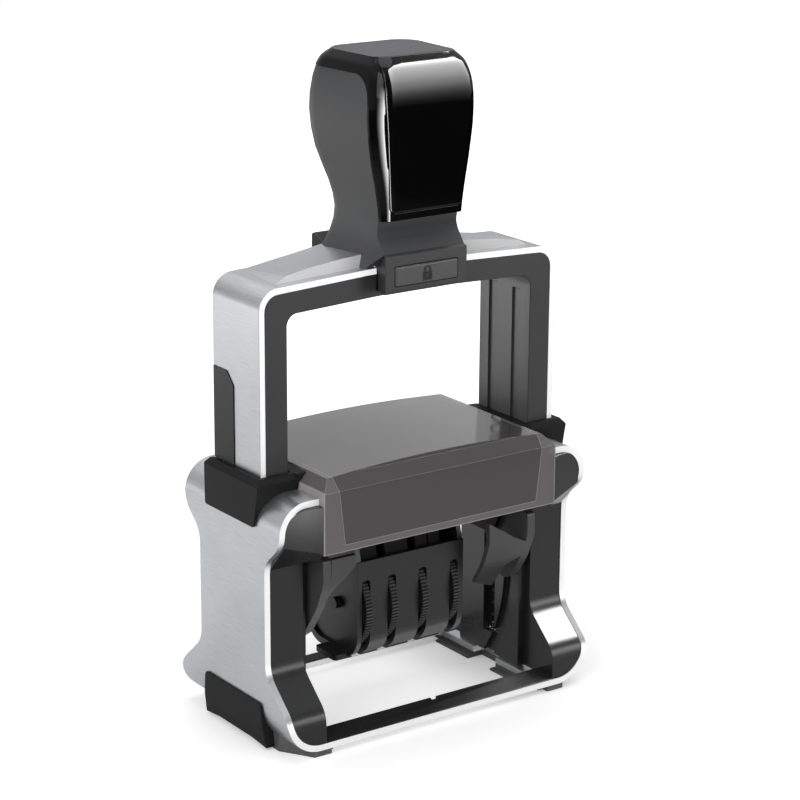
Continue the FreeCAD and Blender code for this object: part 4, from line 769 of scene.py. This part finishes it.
def padlock(form, place, along):
    """The lock's body with its keyhole, and the shackle above it."""
    body = [(-SIGN_HALF, SIGN_LOW), (SIGN_HALF, SIGN_LOW)]
    body += [(SIGN_HALF, SIGN_MIDDLE), (-SIGN_HALF, SIGN_MIDDLE)]
    keyhole = arc(0, -0.5, 0.3, -50, 230, 10) + [(-0.13, -1.2), (0.13, -1.2)]
    raised(form, [body, keyhole], place, along)
    inner = SHACKLE - SHACKLE_WIDTH
    shackle = [(SHACKLE, SIGN_MIDDLE)] + arc(0, SHACKLE_UP, SHACKLE, 0, 180, 14)
    shackle += [(-SHACKLE, SIGN_MIDDLE), (-inner, SIGN_MIDDLE)]
    shackle += arc(0, SHACKLE_UP, inner, 180, 0, 12) + [(inner, SIGN_MIDDLE)]
    raised(form, [shackle], place, along)


# Painted shade: the sign's colour is darker than the button's.
sign_shade_look = plastic("padlock_sign", (0.036, 0.036, 0.0375), 0.3, 0.05, 0.45)
for side, along in (("front", -1), ("rear", 1)):
    low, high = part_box("lock_button_" + side)
    face = low.y if along < 0 else high.y
    middle = Vector((0, face, (low.z + high.z) / 2))
    name = "padlock_sign_" + side
    sign_mesh = built(name, lambda form: padlock(form, middle, along))
    add_piece(name, sign_mesh, sign_shade_look, side + "_lock_button")


# Return springs inside the legs, wound from hard steel wire. Their end turns lie closed.
# They shorten as the handle goes down.
WIRE_RADIUS, WIRE_STEPS, WIRE_SIDES = 0.35, 14, 8
TURNS, CLOSED_TURNS = 30, 1.5


def spring(form, low, high):
    """A coil of round wire that fills a box from end to end."""
    wire = WIRE_RADIUS * MM
    centre = (low + high) / 2
    coil_radius = (high.x - low.x) / 2 - wire
    rings = []
    total = TURNS * WIRE_STEPS
    length = high.z - low.z - 2 * wire
    closed = 1.05 * wire
    for step in range(total + 1):
        share = step / total
        end = min(share, 1 - share) * TURNS
        if end < CLOSED_TURNS:
            rise = closed * end if share < 0.5 else length - closed * end
        else:
            first = closed * CLOSED_TURNS
            middle = (share * TURNS - CLOSED_TURNS) / (TURNS - 2 * CLOSED_TURNS)
            rise = first + (length - 2 * first) * middle
        turn = 2 * math.pi * step / WIRE_STEPS
        out = Vector((math.cos(turn), math.sin(turn), 0))
        ring = []
        for corner in range(WIRE_SIDES):
            angle = 2 * math.pi * corner / WIRE_SIDES
            point = out * (coil_radius + wire * math.cos(angle))
            point.z = low.z + wire + rise + wire * math.sin(angle)
            point.x += centre.x
            point.y += centre.y
            ring.append(form.verts.new(point))
        rings.append(ring)
    joined(form, rings)
    form.faces.new(rings[0])
    form.faces.new(list(reversed(rings[-1])))


wire_metal = Paint("spring_steel")
drawn = wire_metal.noise(1.5, detail=3.0)
wire_look = wire_metal.finish(
    base_color=wire_metal.mix(drawn, (0.4, 0.405, 0.41), (0.56, 0.565, 0.57)),
    metallic=1.0,
    roughness=0.26 + 0.16 * drawn,
)
for side in ("left", "right"):
    node = "return_spring_" + side
    low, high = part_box(node)
    name = "coil_spring_" + side
    coil_mesh = built(name, lambda form: spring(form, low, high), EVEN)
    coil = add_piece(name, coil_mesh, wire_look, "base", [node])
    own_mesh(coil)

# Studio: a white sweep that the stamp stands on, a large soft light from the left, one
# from the front right for the curve of the panel, and a dim one overhead. Soft boxes round
# it only show as reflections, each in the faces that mirror it in the photograph.
scene = bpy.context.scene
scene.view_settings.view_transform = "Standard"


def seen_ray(paint):
    """1 for a ray from the camera, off a gloss or through a clear face, and 0 for others."""
    camera, gloss, clear = [
        paint.node("ShaderNodeLightPath", out=kind)
        for kind in ("Is Camera Ray", "Is Glossy Ray", "Is Transmission Ray")
    ]
    return camera.most(gloss).most(clear)


world = bpy.data.worlds.new("studio")
scene.world = world
world.use_nodes = True
sky = Paint.on(world.node_tree)
way_x, way_y, way_z = sky.axes(sky.node("ShaderNodeTexCoord", out="Generated"))
behind = (way_y * 0.8 + way_z * 0.5).step(-0.55, 0.15) * (0.42 + 0.4 * way_z.step(0.3, 0.62))
in_front = 0.4 * (way_x * 0.58 - way_y * 0.81).step(0.55, 0.9) * way_z.step(-0.05, 0.55)
mirrored = sky.mix(behind.most(in_front), (0.04, 0.04, 0.042), (1, 1, 1))
shown = sky.mix(sky.node("ShaderNodeLightPath", out="Is Camera Ray"), mirrored, (1, 1, 1))
tone = sky.mix(seen_ray(sky), (0.38, 0.38, 0.38), shown)
background = sky.node("ShaderNodeBackground", None, {"Color": tone, "Strength": 1.0})
sky.node("ShaderNodeOutputWorld", None, {"Surface": background})

FLOOR_HALF, FLOOR_DROP = 1.2, 0.00002
ground = bpy.data.meshes.new("studio_floor")
signs = [(-1, -1), (1, -1), (1, 1), (-1, 1)]
corners = [(x * FLOOR_HALF, y * FLOOR_HALF, 0) for x, y in signs]
ground.from_pydata(corners, [], [(0, 1, 2, 3)])
floor = bpy.data.objects.new("studio_floor", ground)
scene.collection.objects.link(floor)
floor.location.z = -FLOOR_DROP

# The floor's paper shows bright to the camera, its glow rising from near the stamp to far off.
# Glossy faces mirror it matt close by, glowing at the rear left, a painted reflection that
# only glossy rays see, and dark farther off. Other rays find it matt.
paper = Paint("studio_paper")


def blend(share, first, second):
    """One shader turning into another."""
    return paper.node("ShaderNodeMixShader", None, {0: share, 1: first, 2: second})


def lit(level):
    """Light of this level from the paper itself."""
    return paper.node("ShaderNodeEmission", None, {"Color": level, "Strength": 1.0})


paper_tone = paper.mix(paper.noise(0.2, detail=2.0), (0.8, 0.8, 0.8), (0.84, 0.84, 0.84))
matt = paper.node("ShaderNodeBsdfDiffuse", None, {"Color": paper_tone})
reach = paper.node("ShaderNodeVectorMath", {"operation": "LENGTH"}, {0: paper.place()}, out=1)
paper_x, paper_y, _ = paper.axes(paper.place())
inside = (1 - abs(paper_y).step(20, 30)) * (1 - abs(paper_x).step(36, 44))
# Painted light and shade: inside the base the glow is raised at the front left and lowered to the
# right, where the unit's shadow falls.
glow = 0.38 + 0.54 * reach.step(120, 420) + inside * (0.17 - 0.3 * paper_x.step(6, 36))
for_camera = paper.node("ShaderNodeAddShader", None, {0: matt, 1: lit(glow)})
left_rear = ((paper_y * 0.9 - paper_x * 0.44) / reach).step(0.72, 0.96)
# Painted reflection: at the rear left the paper glows for glossy rays only.
shine = (0.95 - 0.28 * reach.step(180, 300) + 1.1 * reach.step(400, 480)) * left_rear
near = 1 - reach.step(160, 420)
for_gloss = blend(near * (1 - left_rear), lit(shine), matt)
camera_ray = paper.node("ShaderNodeLightPath", out="Is Camera Ray")
glossy_ray = paper.node("ShaderNodeLightPath", out="Is Glossy Ray")
sheet = blend(camera_ray, blend(glossy_ray, matt, for_gloss), for_camera)
paper.node("ShaderNodeOutputMaterial", None, {"Surface": sheet})
ground.materials.append(paper.material)


def soft_light(name, place, aim, size, power):
    """A rectangular light that the camera doesn't see."""
    lamp = bpy.data.lights.new(name, "AREA")
    lamp.shape = "RECTANGLE"
    lamp.size, lamp.size_y = size
    lamp.energy = power
    holder = bpy.data.objects.new(name, lamp)
    scene.collection.objects.link(holder)
    holder.location = place
    holder.rotation_mode = "QUATERNION"
    holder.rotation_quaternion = (Vector(aim) - Vector(place)).to_track_quat("-Z", "Y")
    holder.visible_camera = False
    return holder


def rising(across, up):
    """A box that is brightest along its upper edge."""
    return up


def gloss_box(name, place, aim, size, power, pieces, fade=None):
    """A soft box that only shows as a reflection in some pieces, and casts no shadow."""
    box = soft_light(name, place, aim, size, power)
    box.visible_diffuse = False
    if fade:
        box.data.use_nodes = True
        glow = Paint.on(box.data.node_tree)
        spot = glow.axes(glow.node("ShaderNodeNewGeometry", out="Parametric"))
        level = fade(spot[0], spot[1])
        beam = glow.node("ShaderNodeEmission", None, {"Color": level, "Strength": 1.0})
        glow.node("ShaderNodeOutputLight", None, {"Surface": beam})
    linked = bpy.data.collections.new(name + "_pieces")
    for piece in pieces:
        linked.objects.link(piece)
    box.light_linking.receiver_collection = linked
    box.light_linking.blocker_collection = linked


def cad(*names):
    """CAD nodes by their names."""
    return [nodes[name] for name in names]


# Two boxes for the gloss of the handle, then those for the satin mouldings, the window, the
# inner faces and the single faces that catch a light of their own, and one for cut edges.
gloss_box(
    "roll_light",
    (0.58, -0.56, 0.5),
    (0, 0, 0.16),
    (1.1, 1.3),
    225.0,
    [cap, panel],
    lambda across, up: up * (0.7 * up + 0.3) * up.step(0, 0.35),
)
gloss_box(
    "corner_light",
    (-0.116, -0.078, 0.075),
    (0, 0, 0.075),
    (0.09, 0.26),
    5.2,
    [cap, panel],
    lambda across, up: across * across * (1 - up.step(0.7, 1)),
)
soft_light("key_light", (-0.75, -0.35, 0.5), (0, 0, 0.07), (0.5, 0.7), 3.8)
front_light = soft_light("front_light", (0.46, -0.66, 0.3), (0, 0, 0.1), (0.34, 0.34), 1.6)
front_light.visible_glossy = False
soft_light("top_light", (0.05, 0.1, 0.8), (0, 0, 0.05), (0.6, 0.6), 2.4)
satin = cad("base_frame", "arch_frame", "guide_plate_left", "guide_plate_right", "unit_housing")
satin += cad("lock_block_front", "lock_button_front", "turn_lever_left", "turn_lever_right")
satin += cad("collar_left", "collar_right", "foot_cover_left")
gloss_box("frame_light", (0.42, -0.55, 0.1), (0, 0, 0.07), (0.4, 0.3), 3.0, satin, rising)
moulded = cad("base_frame")
gloss_box("flare_light", (-0.2, 0.55, 0.42), (0.04, 0, 0.02), (0.26, 0.2), 5.0, moulded)
clear = cad("index_window")
gloss_box("window_light", (0.4, 0.56, 0.27), (0, 0, 0.07), (0.7, 0.4), 0.6, clear)
gloss_box("fold_light", (0.55, -0.7, 0.5), (0, 0, 0.07), (0.9, 0.08), 2.6, clear)
inward = cad("arch_frame", "base_frame", "guide_plate_right", "turn_lever_left", "leg_rib_left")
gloss_box("inner_light", (-0.16, 0.28, -0.04), (0.035, 0, 0.06), (0.3, 0.3), 0.9, inward)
gloss_box(
    "housing_light",
    (0.166, -0.05, -0.216),
    (0, -0.01, 0.03),
    (0.2, 0.1),
    0.7,
    cad("unit_housing"),
)
gloss_box(
    "foot_light",
    (0.105, -0.0487, 0.0901),
    (0.042, -0.0207, 0.0141),
    (0.034, 0.034),
    0.17,
    moulded,
)
gloss_box(
    "fender_light",
    (-0.035, -0.0698, 0.0455),
    (-0.04, -0.0228, 0.062),
    (0.012, 0.014),
    0.0062,
    moulded,
    rising,
)
gloss_box(
    "lever_light",
    (0.0465, -0.0067, -0.0956),
    (-0.03, -0.0157, 0.0334),
    (0.06, 0.06),
    0.04,
    cad("turn_lever_left"),
)
gloss_box("fairing_light", (0.35, 0.04, -0.06), (-0.03, -0.02, 0.05), (0.22, 0.3), 0.6, moulded)
bands = cad("base_shell", "arch_shell")
gloss_box("edge_light", (0.25, -0.38, -0.04), (0, 0, 0.05), (0.4, 0.32), 1.2, bands)

# Camera: the photograph's place and view, solved from the edges of the base, the arch and
# the handle. It has a long lens and leans a third of a degree.
EYE = Vector((-0.34660, -0.49387, 0.25692))
VIEW = Vector((0.5546778, 0.7818397, -0.2847091)).normalized()
TURN, ROLL = math.radians(35.354), math.radians(0.336)
LENS, SENSOR, NEAREST, FARTHEST = 113.9, 36.0, 0.01, 50.0
right = Vector((math.cos(TURN), -math.sin(TURN), 0))
up = right.cross(VIEW)
tilted_right = right * math.cos(ROLL) + up * math.sin(ROLL)
tilted_up = up * math.cos(ROLL) - right * math.sin(ROLL)
lens = bpy.data.cameras.new("camera")
lens.lens, lens.sensor_width = LENS, SENSOR
lens.clip_start, lens.clip_end = NEAREST, FARTHEST
camera = bpy.data.objects.new("camera", lens)
scene.collection.objects.link(camera)
axes = Matrix((tilted_right, tilted_up, -VIEW)).transposed()
camera.matrix_world = Matrix.Translation(EYE) @ axes.to_4x4()
scene.camera = camera
